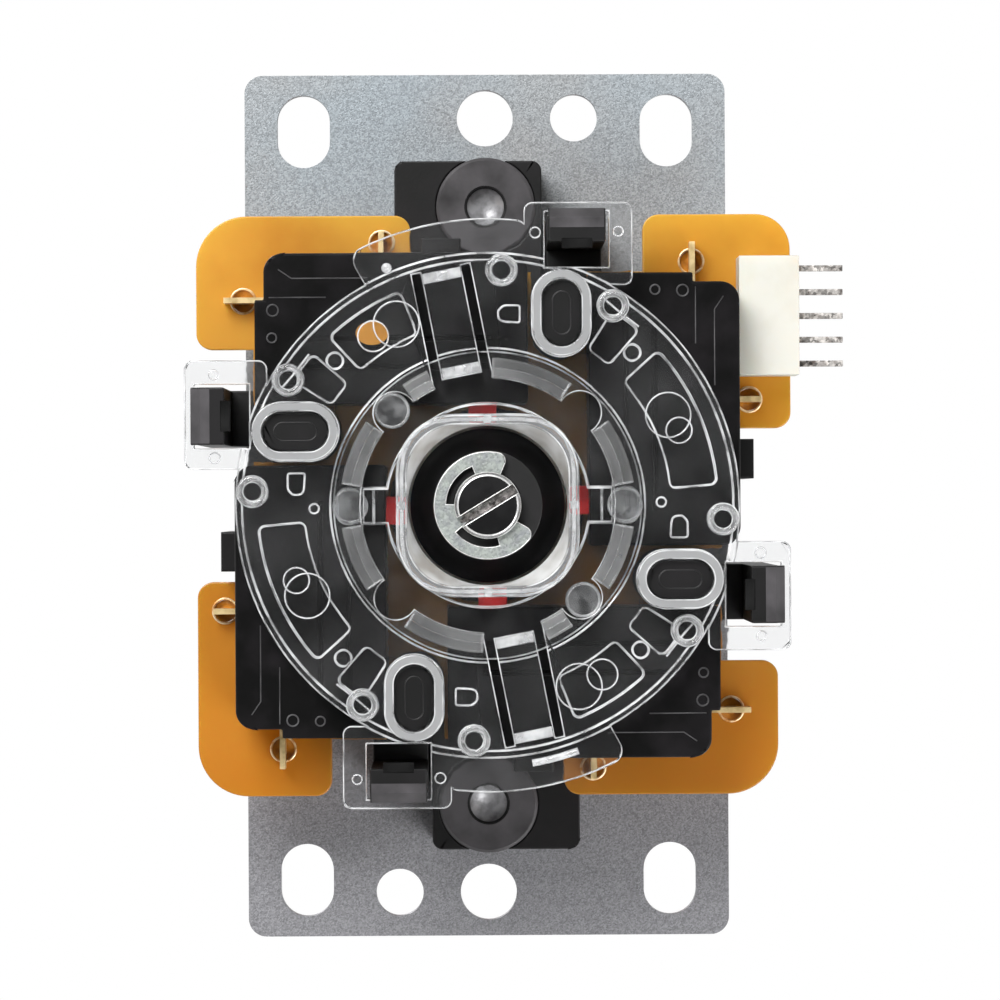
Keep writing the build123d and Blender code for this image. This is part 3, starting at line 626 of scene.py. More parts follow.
def turned_piece(name: str, profile: Outline, steps: int, finish: Finish,
                 move: Matrix = Matrix(), body: str = "base") -> bpy.types.Object:
    """Turn a closed profile of (radius, height) points and add it to the scene.

    Args:
        name: name of the piece.
        profile: the points of the closed profile, in metres.
        steps: faces round the axis.
        finish: the finish of its surface.
        move: where it goes from the shaft axis.
        body: the body that it moves with.

    Returns:
        The new object.
    """
    angles = [math.tau * step / steps for step in range(steps)]
    points: list[Vector] = []
    rings: list[list[int]] = []
    for radius, height in profile:
        count = len(points)
        if radius < AXIS_REACH:
            rings.append([count] * steps)
            points.append(Vector((0.0, 0.0, height)))
        else:
            rings.append(list(range(count, count + steps)))
            points += [Vector((radius * math.cos(angle), radius * math.sin(angle), height))
                       for angle in angles]
    faces: Faces = []
    for ring, following in zip(rings, rings[1:] + rings[:1]):
        for step in range(steps):
            after = (step + 1) % steps
            corners = (ring[step], ring[after], following[after], following[step])
            unique = tuple(dict.fromkeys(corners))
            if len(unique) > 2:
                faces.append(unique)
    mesh = smooth_mesh(name, points, faces, TURNED_SHARP)
    mesh.transform(move)
    return new_piece(name, mesh, finish, body)


def arc_points(centre: Place, radius: float, start: float, end: float, steps: int) -> Outline:
    """Return points along an arc.

    Args:
        centre: centre of the arc.
        radius: its radius.
        start: first direction in degrees.
        end: last direction in degrees.
        steps: number of steps.

    Returns:
        The points, ends included.
    """
    points = []
    for step in range(steps + 1):
        angle = math.radians(start + (end - start) * step / steps)
        points.append((centre[0] + radius * math.cos(angle), centre[1] + radius * math.sin(angle)))
    return points


@dataclass(frozen=True)
class Ridge:
    """A low rounded ridge along an outline on a face that looks down.

    Attributes:
        outline: points of the outline, in metres.
        width: width of the ridge at its foot.
        height: how far it stands down from the face.
        closed: whether the outline closes on itself.
    """

    outline: Outline
    width: float
    height: float
    closed: bool = True

    def lay(self, name: str, level: float, finish: Finish, body: str = "base",
            degrees: float = 0.0) -> None:
        """Build the ridge and add it to the scene.

        Args:
            name: name of the piece.
            level: height of the face.
            finish: the finish of its surface.
            body: the body that it moves with.
            degrees: how far it turns about the shaft axis.
        """
        outline = turned(self.outline, degrees)
        count, steps = len(outline), len(RIDGE_PROFILE)
        points: list[Vector] = []
        for index, (x, y) in enumerate(outline):
            before = outline[index - 1] if self.closed or index else outline[0]
            last = not self.closed and index + 1 == count
            after = outline[-1] if last else outline[(index + 1) % count]
            along = Vector((after[0] - before[0], after[1] - before[1], 0.0)).normalized()
            side = Vector((-along.y, along.x, 0.0)) * self.width
            points += [Vector((x, y, level - self.height * drop)) + side * shift
                       for shift, drop in RIDGE_PROFILE]
        faces: Faces = []
        for index in range(count if self.closed else count - 1):
            here, there = index * steps, (index + 1) % count * steps
            for step in range(steps):
                after = (step + 1) % steps
                faces.append((here + step, here + after, there + after, there + step))
        if not self.closed:
            faces.append(tuple(range(steps)))
            faces.append(tuple(reversed(range((count - 1) * steps, count * steps))))
        new_piece(name, smooth_mesh(name, points, faces), finish, body)

    def lay_round(self, name: str, level: float, finish: Finish, body: str = "base",
                  count: int = QUARTERS) -> None:
        """Add the ridge again and again round the axis, with a number in each name.

        Args:
            name: first part of the names of the pieces.
            level: height of the face.
            finish: the finish of its surface.
            body: the body that it moves with.
            count: how often it returns in a full turn.
        """
        for number in range(count):
            self.lay(f"{name}_{number + 1}", level, finish, body, FULL_TURN / count * number)


def circle_outline(x: float, y: float, radius: float, steps: int = 48) -> Outline:
    """Return the points of a circle without its repeated last point."""
    return arc_points((x, y), radius, 0.0, FULL_TURN, steps)[:-1]


def rounded_outline(corners: Outline, radius: float, steps: int = 5) -> Outline:
    """Round the corners of a closed outline.

    Args:
        corners: the sharp corners in order.
        radius: length cut from each side at a corner.
        steps: steps round each corner.

    Returns:
        The points of the rounded outline.
    """
    points: Outline = []
    count = len(corners)
    for index in range(count):
        here = Vector(corners[index])
        before = (Vector(corners[index - 1]) - here).normalized() * radius
        after = (Vector(corners[(index + 1) % count]) - here).normalized() * radius
        for step in range(steps + 1):
            share = step / steps
            point = here + before * (1.0 - share) ** 2 + after * share ** 2
            points.append((point.x, point.y))
    return points


def turned(outline: Outline, degrees: float) -> Outline:
    """Turn an outline about the shaft axis."""
    angle = math.radians(degrees)
    return [(x * math.cos(angle) - y * math.sin(angle), x * math.sin(angle) + y * math.cos(angle))
            for x, y in outline]


def in_metres(outline: Outline | tuple[Place, ...]) -> Outline:
    """Return an outline that was given in millimetres."""
    return [(x * MM, y * MM) for x, y in outline]


@dataclass
class PlateAndHousing:
    """The zinc-plated plate, the black housing, its screws and the dust washer.

    Curves are in millimetres; the tip's first number is a share of the bore's radius.
    """

    plate_edge: float = 0.12 * MM
    moulding_edge: float = 0.18 * MM
    block_face: float = -10.0 * MM
    boss_inner: float = 2.3 * MM
    boss_outer: float = 5.35 * MM
    boss_wall: float = 2.86 * MM
    boss_steps: int = 64
    seat_depth: float = 0.7 * MM
    seat_lip: float = 0.12 * MM
    seat_round: Place = (0.3 * MM, 0.2 * MM)
    tip_curve: tuple[Place, ...] = (
        (0.0, 1.15), (0.35, 1.05), (0.65, 0.75), (0.86, 0.3), (0.96, 0.05), (1.0, 0.1),
        (1.0, 1.6), (0.0, 1.6),
    )
    screw_distance: float = 32.4 * MM
    hook_place: Place = (-28.2 * MM, -9.45 * MM)
    hook_face: float = -31.0 * MM
    ramp_curve: tuple[Place, ...] = (
        (-30.97, -29.93), (-29.93, -31.0), (-28.95, -31.0), (-28.95, -31.03), (-29.95, -31.04),
        (-31.0, -29.96),
    )
    ramp_caps: tuple[tuple[int, ...], ...] = ((0, 1, 4, 5), (1, 2, 3, 4))
    ramp_half: float = 2.85 * MM
    hook_slot_shift: float = 0.9 * MM
    hook_slot_half: float = 1.6 * MM
    hook_slot_size: Place = (1.1 * MM, 0.03 * MM)
    peg_place: Place = (-20.05 * MM, -7.8 * MM)
    peg_face: float = -30.8 * MM
    peg_straight: float = 1.3 * MM
    peg_radius: float = 0.95 * MM
    peg_steps: int = 12
    peg_line: Place = (0.16 * MM, 0.06 * MM)

    def build(self) -> None:
        """Dress the nodes and round their edges."""
        dress("mounting_plate", ZINC, self.plate_edge, clamp=True)
        dress("housing", MOULDED_BLACK, self.moulding_edge)
        dress("plate_screws", STEEL, self.plate_edge)
        dress("dust_washer", MOULDED_BLACK)
        self._bosses()
        self._hook_ramps()
        self._hook_slots()
        self._pegs()

    def _bosses(self) -> None:
        """Lay the paler round seat round each screw bore, its grey a painted sheen on the black
        moulding, and the tip of the screw in it.
        """
        face, inner, outer, wall = self.block_face, self.boss_inner, self.boss_outer, self.boss_wall
        lower = face - self.seat_lip
        upper = face + self.seat_depth
        seat = [(inner, lower), (outer - self.seat_round[0], lower),
                (outer, lower + self.seat_round[1]), (outer, upper), (wall, upper), (wall, face),
                (inner, face)]
        tip = [(share * inner, face + rise * MM) for share, rise in self.tip_curve]
        for number, side in enumerate((-1, 1)):
            move = Matrix.Translation((side * self.screw_distance, 0.0, 0.0))
            for name, profile, finish in (("boss_seat", seat, PAINTED_SHEEN_BLACK), ("screw_tip", tip, TIP)):
                turned_piece(f"{name}_{number + 1}", profile, self.boss_steps, finish, move)

    def _hook_ramps(self) -> None:
        """Cover the ramp of each hook with a paler skin, a painted sheen of the lit slope."""
        sides = [[Vector((x * MM, self.hook_place[1] + side * self.ramp_half, z * MM))
                  for x, z in self.ramp_curve] for side in (-1.0, 1.0)]
        for number in range(QUARTERS):
            name = f"hook_ramp_{number + 1}"
            mesh = prism_mesh(name, sides[0], sides[1], list(self.ramp_caps))
            mesh.transform(Matrix.Rotation(math.radians(QUARTER_TURN * number), 4, "Z"))
            new_piece(name, mesh, PAINTED_SHEEN_BLACK, "base")

    def _hook_slots(self) -> None:
        """Lay the small slot that each hook has on its land, as a strip of painted shade."""
        x, y = self.hook_place
        x += self.hook_slot_shift
        line = [(x, y - self.hook_slot_half), (x, y), (x, y + self.hook_slot_half)]
        slot = Ridge(line, *self.hook_slot_size, closed=False)
        slot.lay_round("hook_slot", self.hook_face, SLOT_SHADE_BLACK)

    def _pegs(self) -> None:
        """Draw the faint inner contour on the end of each oval peg."""
        x, y = self.peg_place
        outline = arc_points((x - self.peg_straight, y), self.peg_radius, 90.0, 270.0, self.peg_steps)
        outline += arc_points((x + self.peg_straight, y), self.peg_radius, -90.0, 90.0, self.peg_steps)
        Ridge(outline, *self.peg_line).lay_round("peg_contour", self.peg_face, ACTUATOR_BLACK)


@dataclass
class Board:
    """The amber circuit board, its pads, and the white header with its pins.

    The dark amber cup in a hole, painted shade of its bore, is given by shares of the hole's radius and
    by millimetres.
    """

    edge: float = 0.12 * MM
    edge_steps: int = 2
    pad_width: float = 0.22 * MM
    pad_height: float = 0.06 * MM
    pad_gap: float = 0.02 * MM
    pad_steps: int = 32
    hole_radius: float = 1.2 * MM
    cup_depth: float = 0.55 * MM
    cup_curve: tuple[Place, ...] = ((0.0, 0.0), (0.5, 0.05), (0.98, -0.25), (0.98, 0.5), (0.0, 0.5))
    end_pad: Place = (-26.05 * MM, -22.0 * MM)
    side_pad: Place = (-11.2 * MM, -28.15 * MM)
    level_reach: float = 0.01 * MM
    wall_slope: float = 0.5
    corner_radius: float = 1.7 * MM
    corner_reach: float = 0.05 * MM
    corner_steps: int = 10
    corner_places: tuple[Place, ...] = (
        (-31.1, 8.1), (-16.8, 31.1), (-31.1, -16.8), (-8.1, -32.6),
        (16.8, -31.1), (31.1, -8.1), (31.1, 16.8), (8.1, 31.1),
    )

    def build(self) -> None:
        """Dress the nodes and add the solder pads."""
        self._rounded_board()
        dress("connector_housing", HEADER_WHITE, self.edge)
        dress("connector_pins", TIN, self.edge / 2)
        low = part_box("circuit_board")[0].z
        for turn in range(QUARTERS):
            for kind, place in (("end", self.end_pad), ("side", self.side_pad)):
                self._pad(f"pad_{kind}_{turn + 1}", place, turn, low)

    def _rounded_board(self) -> None:
        """Draw the board again as a filled curve, with the corners of its arms rounded."""
        low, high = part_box("circuit_board")
        half = (high.z - low.z) / 2
        curve = bpy.data.curves.new("board_curve", "CURVE")
        curve.dimensions = "2D"
        curve.fill_mode = "BOTH"
        curve.extrude = half - self.edge
        curve.bevel_depth = self.edge
        curve.bevel_resolution = self.edge_steps
        curve.offset = -self.edge
        for outline in self._board_outlines(low.z):
            spline = curve.splines.new("POLY")
            spline.points.add(len(outline) - 1)
            for point, (x, y) in zip(spline.points, outline):
                point.co = (x, y, 0.0, 1.0)
            spline.use_cyclic_u = True
        drawn = placed("board_curve", curve)
        bpy.context.view_layer.update()
        mesh = bpy.data.meshes.new_from_object(
            drawn.evaluated_get(bpy.context.evaluated_depsgraph_get()))
        bpy.data.objects.remove(drawn)
        bpy.data.curves.remove(curve)
        mesh.transform(Matrix.Translation((0.0, 0.0, low.z + half)))
        board = new_piece("rounded_board", mesh, PHENOLIC, "base")
        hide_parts("circuit_board")

    def _board_outlines(self, level: float) -> list[Outline]:
        """Read the outlines of the lower face of the board and round its corners.

        Args:
            level: height of the lower face.

        Returns:
            One list of points for the outer outline and for each hole.
        """
        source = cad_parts["circuit_board"]
        shape = bmesh.new()
        shape.from_mesh(source.data)
        shape.transform(source.matrix_world)
        bmesh.ops.remove_doubles(shape, verts=shape.verts, dist=WELD_REACH)
        shape.normal_update()
        shape.edges.index_update()
        rim = {edge for edge in shape.edges
               if all(abs(vert.co.z - level) < self.level_reach for vert in edge.verts)
               and any(abs(face.normal.z) < self.wall_slope for face in edge.link_faces)}
        outlines = []
        while rim:
            edge = min(rim, key=lambda item: item.index)
            rim.discard(edge)
            first, here = edge.verts
            loop = [first]
            while here != first:
                loop.append(here)
                edge = next(other for other in here.link_edges if other in rim)
                rim.discard(edge)
                here = edge.other_vert(here)
            outlines.append(self._with_round_corners([vert.co.xy for vert in loop]))
        shape.free()
        log.info("board outlines: %d", len(outlines))
        return outlines

    def _with_round_corners(self, places: list[Vector]) -> Outline:
        """Replace each sharp corner of an arm by an arc.

        Args:
            places: the points of one outline.

        Returns:
            The points with the arcs.
        """
        outline: Outline = []
        for index, corner in enumerate(places):
            sharp = any(math.hypot(corner.x - x * MM, corner.y - y * MM) < self.corner_reach
                        for x, y in self.corner_places)
            if not sharp:
                outline.append((corner.x, corner.y))
                continue
            back = (places[index - 1] - corner).normalized()
            ahead = (places[(index + 1) % len(places)] - corner).normalized()
            for step in range(self.corner_steps + 1):
                angle = math.pi / 2 * step / self.corner_steps
                place = corner + self.corner_radius * (back + ahead - ahead * math.cos(angle)
                                                       - back * math.sin(angle))
                outline.append((place.x, place.y))
        return outline

    def _pad(self, name: str, place: Place, turn: int, low: float) -> None:
        """Add one ring of solder round a hole, and a dark amber cup of painted shade in the hole.

        Args:
            name: name of the piece.
            place: place of the hole before turning.
            turn: number of quarter turns.
            low: height of the lower face of the board.
        """
        inner = self.hole_radius + self.pad_gap
        outer = inner + self.pad_width
        ring = [(inner, low), (outer, low), ((inner + outer) / 2, low - self.pad_height)]
        cup = [(share * self.hole_radius, low + self.cup_depth + rise * MM)
               for share, rise in self.cup_curve]
        move = (Matrix.Rotation(math.radians(QUARTER_TURN * turn), 4, "Z")
                @ Matrix.Translation((*place, 0.0)))
        turned_piece(name, ring, self.pad_steps, SOLDER, move)
        turned_piece(name + "_resin", cup, self.pad_steps, HOLE_SHADE, move)


@dataclass
class Switches:
    """The four microswitches with covers, plungers and tabs.

    Mould lines and dimples are in millimetres, beside the end tab of the first cover.
    """

    case_edge: float = 0.25 * MM
    tab_edge: float = 0.06 * MM
    window_place: Place = (-18.15 * MM, 12.05 * MM)
    window_size: Place = (1.72 * MM, 1.25 * MM)
    window_height: float = 0.05 * MM
    window_steps: int = 40
    mould_lines: tuple[tuple[Place, ...], ...] = (
        ((-22.9, -21.95), (-16.9, -21.95)),
        ((-21.9, -24.9), (-20.5, -23.95), (-12.5, -23.95)),
    )
    line_size: Place = (0.14 * MM, 0.06 * MM)
    dimples: tuple[Circle, ...] = ((-22.5, -20.6, 0.6), (-22.6, -17.7, 0.5))
    dimple_size: Place = (0.18 * MM, 0.07 * MM)
    dimple_steps: int = 24

    def build(self) -> None:
        """Dress the nodes of each switch."""
        for number in range(1, QUARTERS + 1):
            for part, finish, edge in (("switch_case", SWITCH_BLACK, self.case_edge),
                                       ("switch_cover", SWITCH_BLACK, self.case_edge),
                                       ("plunger", PLUNGER_RED, self.case_edge / 2),
                                       ("switch_tabs", BRASS, self.tab_edge)):
                dress(f"{part}_{number}", finish, edge)
        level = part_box("switch_cover_1")[0].z
        self._marks(level)
        self._window(level)

    def _window(self, level: float) -> None:
        """Lay the small amber oval that shows beside the first switch.

        Args:
            level: height of the lower face of the covers.
        """
        x, y = self.window_place
        wide, deep = self.window_size
        angles = [math.tau * step / self.window_steps for step in range(self.window_steps)]
        low, high = [[Vector((x + deep * math.sin(angle), y + wide * math.cos(angle), height))
                      for angle in angles]
                     for height in (level - self.window_height, level + self.window_height)]
        mesh = prism_mesh("amber_window", low, high, [tuple(range(self.window_steps))])
        new_piece("amber_window", mesh, AMBER, "base")

    def _marks(self, level: float) -> None:
        """Add the mould lines and the small dimples of each cover, as ridges in a paler black that
        paints their highlight.

        Args:
            level: height of the lower face of the covers.
        """
        for index, line in enumerate(self.mould_lines):
            ridge = Ridge(in_metres(line), *self.line_size, closed=False)
            ridge.lay_round(f"cover_line_{index + 1}", level, BLACK_LINE_HIGHLIGHT)
        for index, (x, y, radius) in enumerate(self.dimples):
            ring = circle_outline(x * MM, y * MM, radius * MM, self.dimple_steps)
            ridge = Ridge(ring, *self.dimple_size)
            ridge.lay_round(f"cover_dimple_{index + 1}", level, BLACK_LINE_HIGHLIGHT)


@dataclass
class Gate:
    """The clear gate plate and the clear ring that turns in it."""

    plate_edge: float = 0.12 * MM
    ring_edge: float = 0.16 * MM
    opening_half_width: float = 8.42 * MM
    opening_corner_radius: float = 5.2 * MM
    funnel_start: float = 0.15 * MM
    funnel_height: float = 3.1 * MM
    funnel_radius: float = 8.36 * MM
    funnel_gap: float = 0.02 * MM
    funnel_steps: int = 96
    funnel_sharp: float = 30.0
    collar_drop: float = 3.5 * MM
    knob_radius: float = 1.9 * MM
    knob_height: float = 0.085 * MM
    knob_steps: int = 40
    knob_shares: tuple[float, ...] = (0.97, 0.88, 0.72, 0.5, 0.25, 0.0)
    knob_places: tuple[Place, ...] = (
        (90.0, 14.4 * MM), (-90.0, 14.4 * MM), (135.0, 14.1 * MM), (-45.0, 14.1 * MM),
    )
    rim_share: float = 0.9
    rim_width: float = 0.3 * MM
    shine_half: float = 8.98 * MM
    shine_radius: float = 5.6 * MM
    shine_width: float = 0.42 * MM
    notch_span: Place = (8.6 * MM, 9.5 * MM)
    notch_width: float = 0.85 * MM
    notch_height: float = 0.08 * MM
    notch_cover: float = 0.13 * MM
    bar_reach: float = 11.95 * MM
    bar_share: float = 0.95
    bar_size: Place = (0.32 * MM, 0.09 * MM)

    def build(self) -> None:
        """Dress both clear mouldings; they let the lamps through."""
        # The rounded edges of both mouldings carry a painted highlight.
        dress("gate_plate", CLEAR, self.plate_edge, edge=CLEAR_HIGHLIGHT_EDGE)
        dress("gate_ring", CLEAR_RING, self.ring_edge, segments=3, edge=CLEAR_HIGHLIGHT_EDGE)
        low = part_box("gate_ring")[0].z
        self._funnel(low + self.funnel_start)
        self._knobs(low + self.collar_drop)
        self._shine(low + self.notch_cover)
        bar = Ridge([(self.bar_reach, -self.knob_radius * self.bar_share),
                     (self.bar_reach, self.knob_radius * self.bar_share)],
                    *self.bar_size, closed=False)
        for number, angle in enumerate((90.0, -90.0)):
            bar.lay(f"ring_bar_{number + 1}", low + self.collar_drop, MARK, "gate_ring", angle)

    def _opening_reach(self, angle: float) -> float:
        """Return how far the rounded square opening reaches in a direction.

        Args:
            angle: direction in radians.

        Returns:
            The distance from the axis to the wall.
        """
        half = self.opening_half_width
        core = half - self.opening_corner_radius
        x, y = abs(math.cos(angle)), abs(math.sin(angle))
        if half * y <= core * x:
            return half / x
        if half * x <= core * y:
            return half / y
        along = core * (x + y)
        return along + math.sqrt(along ** 2 - 2 * core ** 2 + self.opening_corner_radius ** 2)

    def _funnel(self, low: float) -> None:
        """Line the corners of the opening with the pale wall that leads the lever in.

        Args:
            low: height of the wall's lower end.
        """
        high = low + self.funnel_height
        points: list[Vector] = []
        faces: Faces = []
        for step in range(self.funnel_steps):
            angle = math.tau * step / self.funnel_steps
            reach = self._opening_reach(angle) - self.funnel_gap
            for radius, height in ((reach, low), (min(self.funnel_radius, reach), high), (reach, high)):
                points.append(Vector((radius * math.cos(angle), radius * math.sin(angle), height)))
            here, there = 3 * step, 3 * ((step + 1) % self.funnel_steps)
            for one, other in ((0, 1), (1, 2), (2, 0)):
                faces.append((here + one, there + one, there + other, here + other))
        mesh = smooth_mesh("opening_funnel", points, faces, self.funnel_sharp)
        new_piece("opening_funnel", mesh, CREAM_WALL, "gate_ring")

    def _knobs(self, face: float) -> None:
        """Set the low round knobs on the rotor, each with a bright rim ridge that paints the highlight
        of its edge.

        Args:
            face: height of the face that they stand on.
        """
        cap = [(0.0, face), (self.knob_radius, face)]
        for share in self.knob_shares:
            drop = 0.5 * self.knob_height * math.sqrt(1.0 - share ** 2)
            cap.append((self.knob_radius * share, face - drop))
        for number, (angle, distance) in enumerate(self.knob_places):
            move = (Matrix.Rotation(math.radians(angle), 4, "Z")
                    @ Matrix.Translation((distance, 0.0, 0.0)))
            turned_piece(f"ring_knob_{number + 1}", cap, self.knob_steps, CLEAR_KNOB, move, "gate_ring")
            # Painted highlight: a hazy ridge round the edge of each knob.
            rim = circle_outline(distance, 0.0, self.rim_share * self.knob_radius, self.knob_steps)
            Ridge(rim, self.rim_width, self.knob_height).lay(
                f"knob_rim_{number + 1}", face, MARK, "gate_ring", angle)

    def _shine(self, low: float) -> None:
        """Draw the bright line round the opening, a painted highlight on the collar band, and the four
        notches outside it.

        Args:
            low: height of the face that they stand on.
        """
        side = self.shine_half
        square = [(-side, -side), (side, -side), (side, side), (-side, side)]
        # Painted highlight: a hazy ridge for the bright streak round the collar band.
        shine = Ridge(rounded_outline(square, self.shine_radius), self.shine_width, self.notch_height)
        shine.lay("collar_shine", low, MARK, "gate_ring")
        line = [(reach, 0.0) for reach in self.notch_span]
        Ridge(line, self.notch_width, self.notch_height, closed=False).lay_round(
            "ring_notch", low, MARK, "gate_ring")


@dataclass
class GateMarks:
    """The fine mould marks on the clear gate: ejector circles, small outlines and bars.

    Places and sizes are in millimetres on the lower face, in the first quarter or half turn.
    A size is the width and the height of a ridge.
    """

    face_height: float = 2.4
    dot_steps: int = 24
    fine_size: Place = (0.16, 0.07)
    dot_size: Place = (0.208, 0.105)
    big_circles: tuple[Circle, ...] = (
        (-9.36, -18.92, 2.35), (-7.75, -20.05, 1.35), (-19.0, 9.46, 2.40), (-17.75, 11.9, 1.60),
    )
    half_turn_dots: tuple[Circle, ...] = ((-0.25, -18.15, 0.50),)
    quarter_turn_dots: tuple[Circle, ...] = (
        (-28.5, -5.1, 0.55), (-28.6, -13.8, 0.50),
    )
    wing_stub: Circle = (-24.85, 10.45, 0.55)
    slash: tuple[Place, ...] = ((-21.9, -11.9), (-20.4, -13.6), (-18.6, -15.9))
    slash_size: Place = (0.224, 0.105)
    notched_box: tuple[Place, ...] = (
        (-20.9, -3.45), (-20.9, -1.75), (-20.35, -1.15), (-19.45, -1.25), (-19.2, -1.7),
        (-19.1, -3.45),
    )
    box_round: float = 0.3
    box_size: Place = (0.224, 0.112)
    tongues: tuple[tuple[str, float], ...] = (("outer", 24.5), ("inner", 14.4))
    tongue_half: float = 2.0
    tongue_angle: float = -11.0
    tongue_size: Place = (1.1, 0.12)
    frost_spans: tuple[Place, ...] = ((2.0, 35.0), (55.0, 81.5), (98.5, 125.0), (145.0, 156.0))
    frost_radius: float = 14.4
    frost_size: Place = (2.1, 0.03)
    frost_steps: int = 24
    ring_places: tuple[Place, ...] = ((-24.6, -1.56), (-20.8, -13.2))
    ring_radius: float = 1.325
    ring_size: Place = (0.55, 0.06)
    ring_rise: float = 0.35
    bar_radius: float = 27.35
    bar_span: Place = (-9.5, -20.0)
    bar_size: Place = (0.75, 0.35)
    bar_steps: int = 12

    def build(self) -> None:
        """Lay the marks on the lower face of the gate plate."""
        for number, circle in enumerate(self.big_circles):
            self._lay(f"ejector_{number + 1}", circle_outline(*circle), self.fine_size, HALVES)
        for number, circle in enumerate(self.half_turn_dots):
            self._lay(f"dot_{number + 1}", circle_outline(*circle, self.dot_steps),
                      self.dot_size, HALVES)
        x, y, width = self.wing_stub
        self._lay("wing_stub", circle_outline(x, y, width / 2, self.dot_steps), (width, width / 2))
        for number, circle in enumerate(self.quarter_turn_dots):
            self._lay(f"ear_dot_{number + 1}", circle_outline(*circle, self.dot_steps),
                      self.fine_size, QUARTERS)
        self._lay("slash", list(self.slash), self.slash_size, QUARTERS, closed=False)
        box = rounded_outline(list(self.notched_box), self.box_round)
        self._lay("notched_box", box, self.box_size, QUARTERS)
        for name, reach in self.tongues:
            line = [(-reach, -self.tongue_half), (-reach, self.tongue_half)]
            self._lay(f"tongue_{name}", turned(line, self.tongue_angle), self.tongue_size,
                      HALVES, closed=False)
        bar = arc_points((0.0, 0.0), self.bar_radius, *self.bar_span, self.bar_steps)
        self._lay("wing_bar", bar, self.bar_size, closed=False)
        for number, span in enumerate(self.frost_spans):
            arc = arc_points((0.0, 0.0), self.frost_radius, *span, self.frost_steps)
            self._lay(f"frost_{number + 1}", arc, self.frost_size, HALVES, False, FROST)
        for number, place in enumerate(self.ring_places):
            self._lay(f"ring_face_{number + 1}", circle_outline(*place, self.ring_radius),
                      self.ring_size, QUARTERS, finish=CLEAR_KNOB, drop=self.ring_rise)

    def _lay(self, name: str, outline: Outline, size: Place, count: int = 0,
             closed: bool = True, finish: Finish = MARK, drop: float = 0.0) -> None:
        """Lay a ridge on the gate plate.

        Args:
            name: name of the piece, or the first part of the names.
            outline: points of the outline, in millimetres.
            size: width and height of the ridge.
            count: how often it returns in a full turn, 0 for a single one.
            closed: whether the outline closes on itself.
            finish: the finish of its surface.
            drop: how far its foot lies below the face.
        """
        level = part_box("gate_plate")[0].z + (self.face_height - drop) * MM
        ridge = Ridge(in_metres(outline), size[0] * MM, size[1] * MM, closed)
        if count:
            ridge.lay_round(name, level, finish, count=count)
        else:
            ridge.lay(name, level, finish)


@dataclass
class Lever:
    """The parts on the shaft: ball, shaft, pivot ball, spring, actuator and clip."""

    edge: float = 0.1 * MM
    ball_steps: int = 96
    bore_radius: float = 3.05 * MM
    bore_depth: float = 13.1 * MM
    slot_half: float = 3.3 * MM
    slot_level: float = 1.04 * MM
    slot_size: Place = (1.0 * MM, 0.05 * MM)
    slot_angle: float = 59.0

    def build(self) -> None:
        """Dress the nodes, turn the ball afresh and lay the floor of the driver slot."""
        # The rounded edges of the shaft and the clip carry a painted highlight.
        dress("shaft", STEEL, self.edge, edge=METAL_EDGE_HIGHLIGHT)
        dress("pivot_ball", ACTUATOR_BLACK)
        dress("spring_seat", HEADER_WHITE)
        dress("centering_spring", SPRING_STEEL)
        dress("actuator", ACTUATOR_BLACK, self.edge)
        dress("e_clip", CLIP_ZINC, self.edge, edge=METAL_EDGE_HIGHLIGHT)
        self._ball()
        line = [(-self.slot_half, 0.0), (0.0, 0.0), (self.slot_half, 0.0)]
        Ridge(line, *self.slot_size, closed=False).lay(
            "slot_floor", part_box("shaft")[0].z + self.slot_level, TIN, "lever", self.slot_angle)

    def _ball(self) -> None:
        """Turn a smooth ball with the flat and the bore of the solid one."""
        low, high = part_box("ball_top")
        radius = (high.x - low.x) / 2
        centre = high.z - radius
        flat = math.degrees(math.asin((low.z - centre) / radius))
        skin = arc_points((0.0, centre), radius, flat, 90.0, self.ball_steps)
        bore_end = low.z + self.bore_depth
        profile = [(self.bore_radius, bore_end), (self.bore_radius, low.z)]
        profile += skin[:-1] + [(0.0, centre + radius), (0.0, bore_end)]
        ball = turned_piece("smooth_ball", profile, 2 * self.ball_steps, BALL, body="lever")
        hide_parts("ball_top")


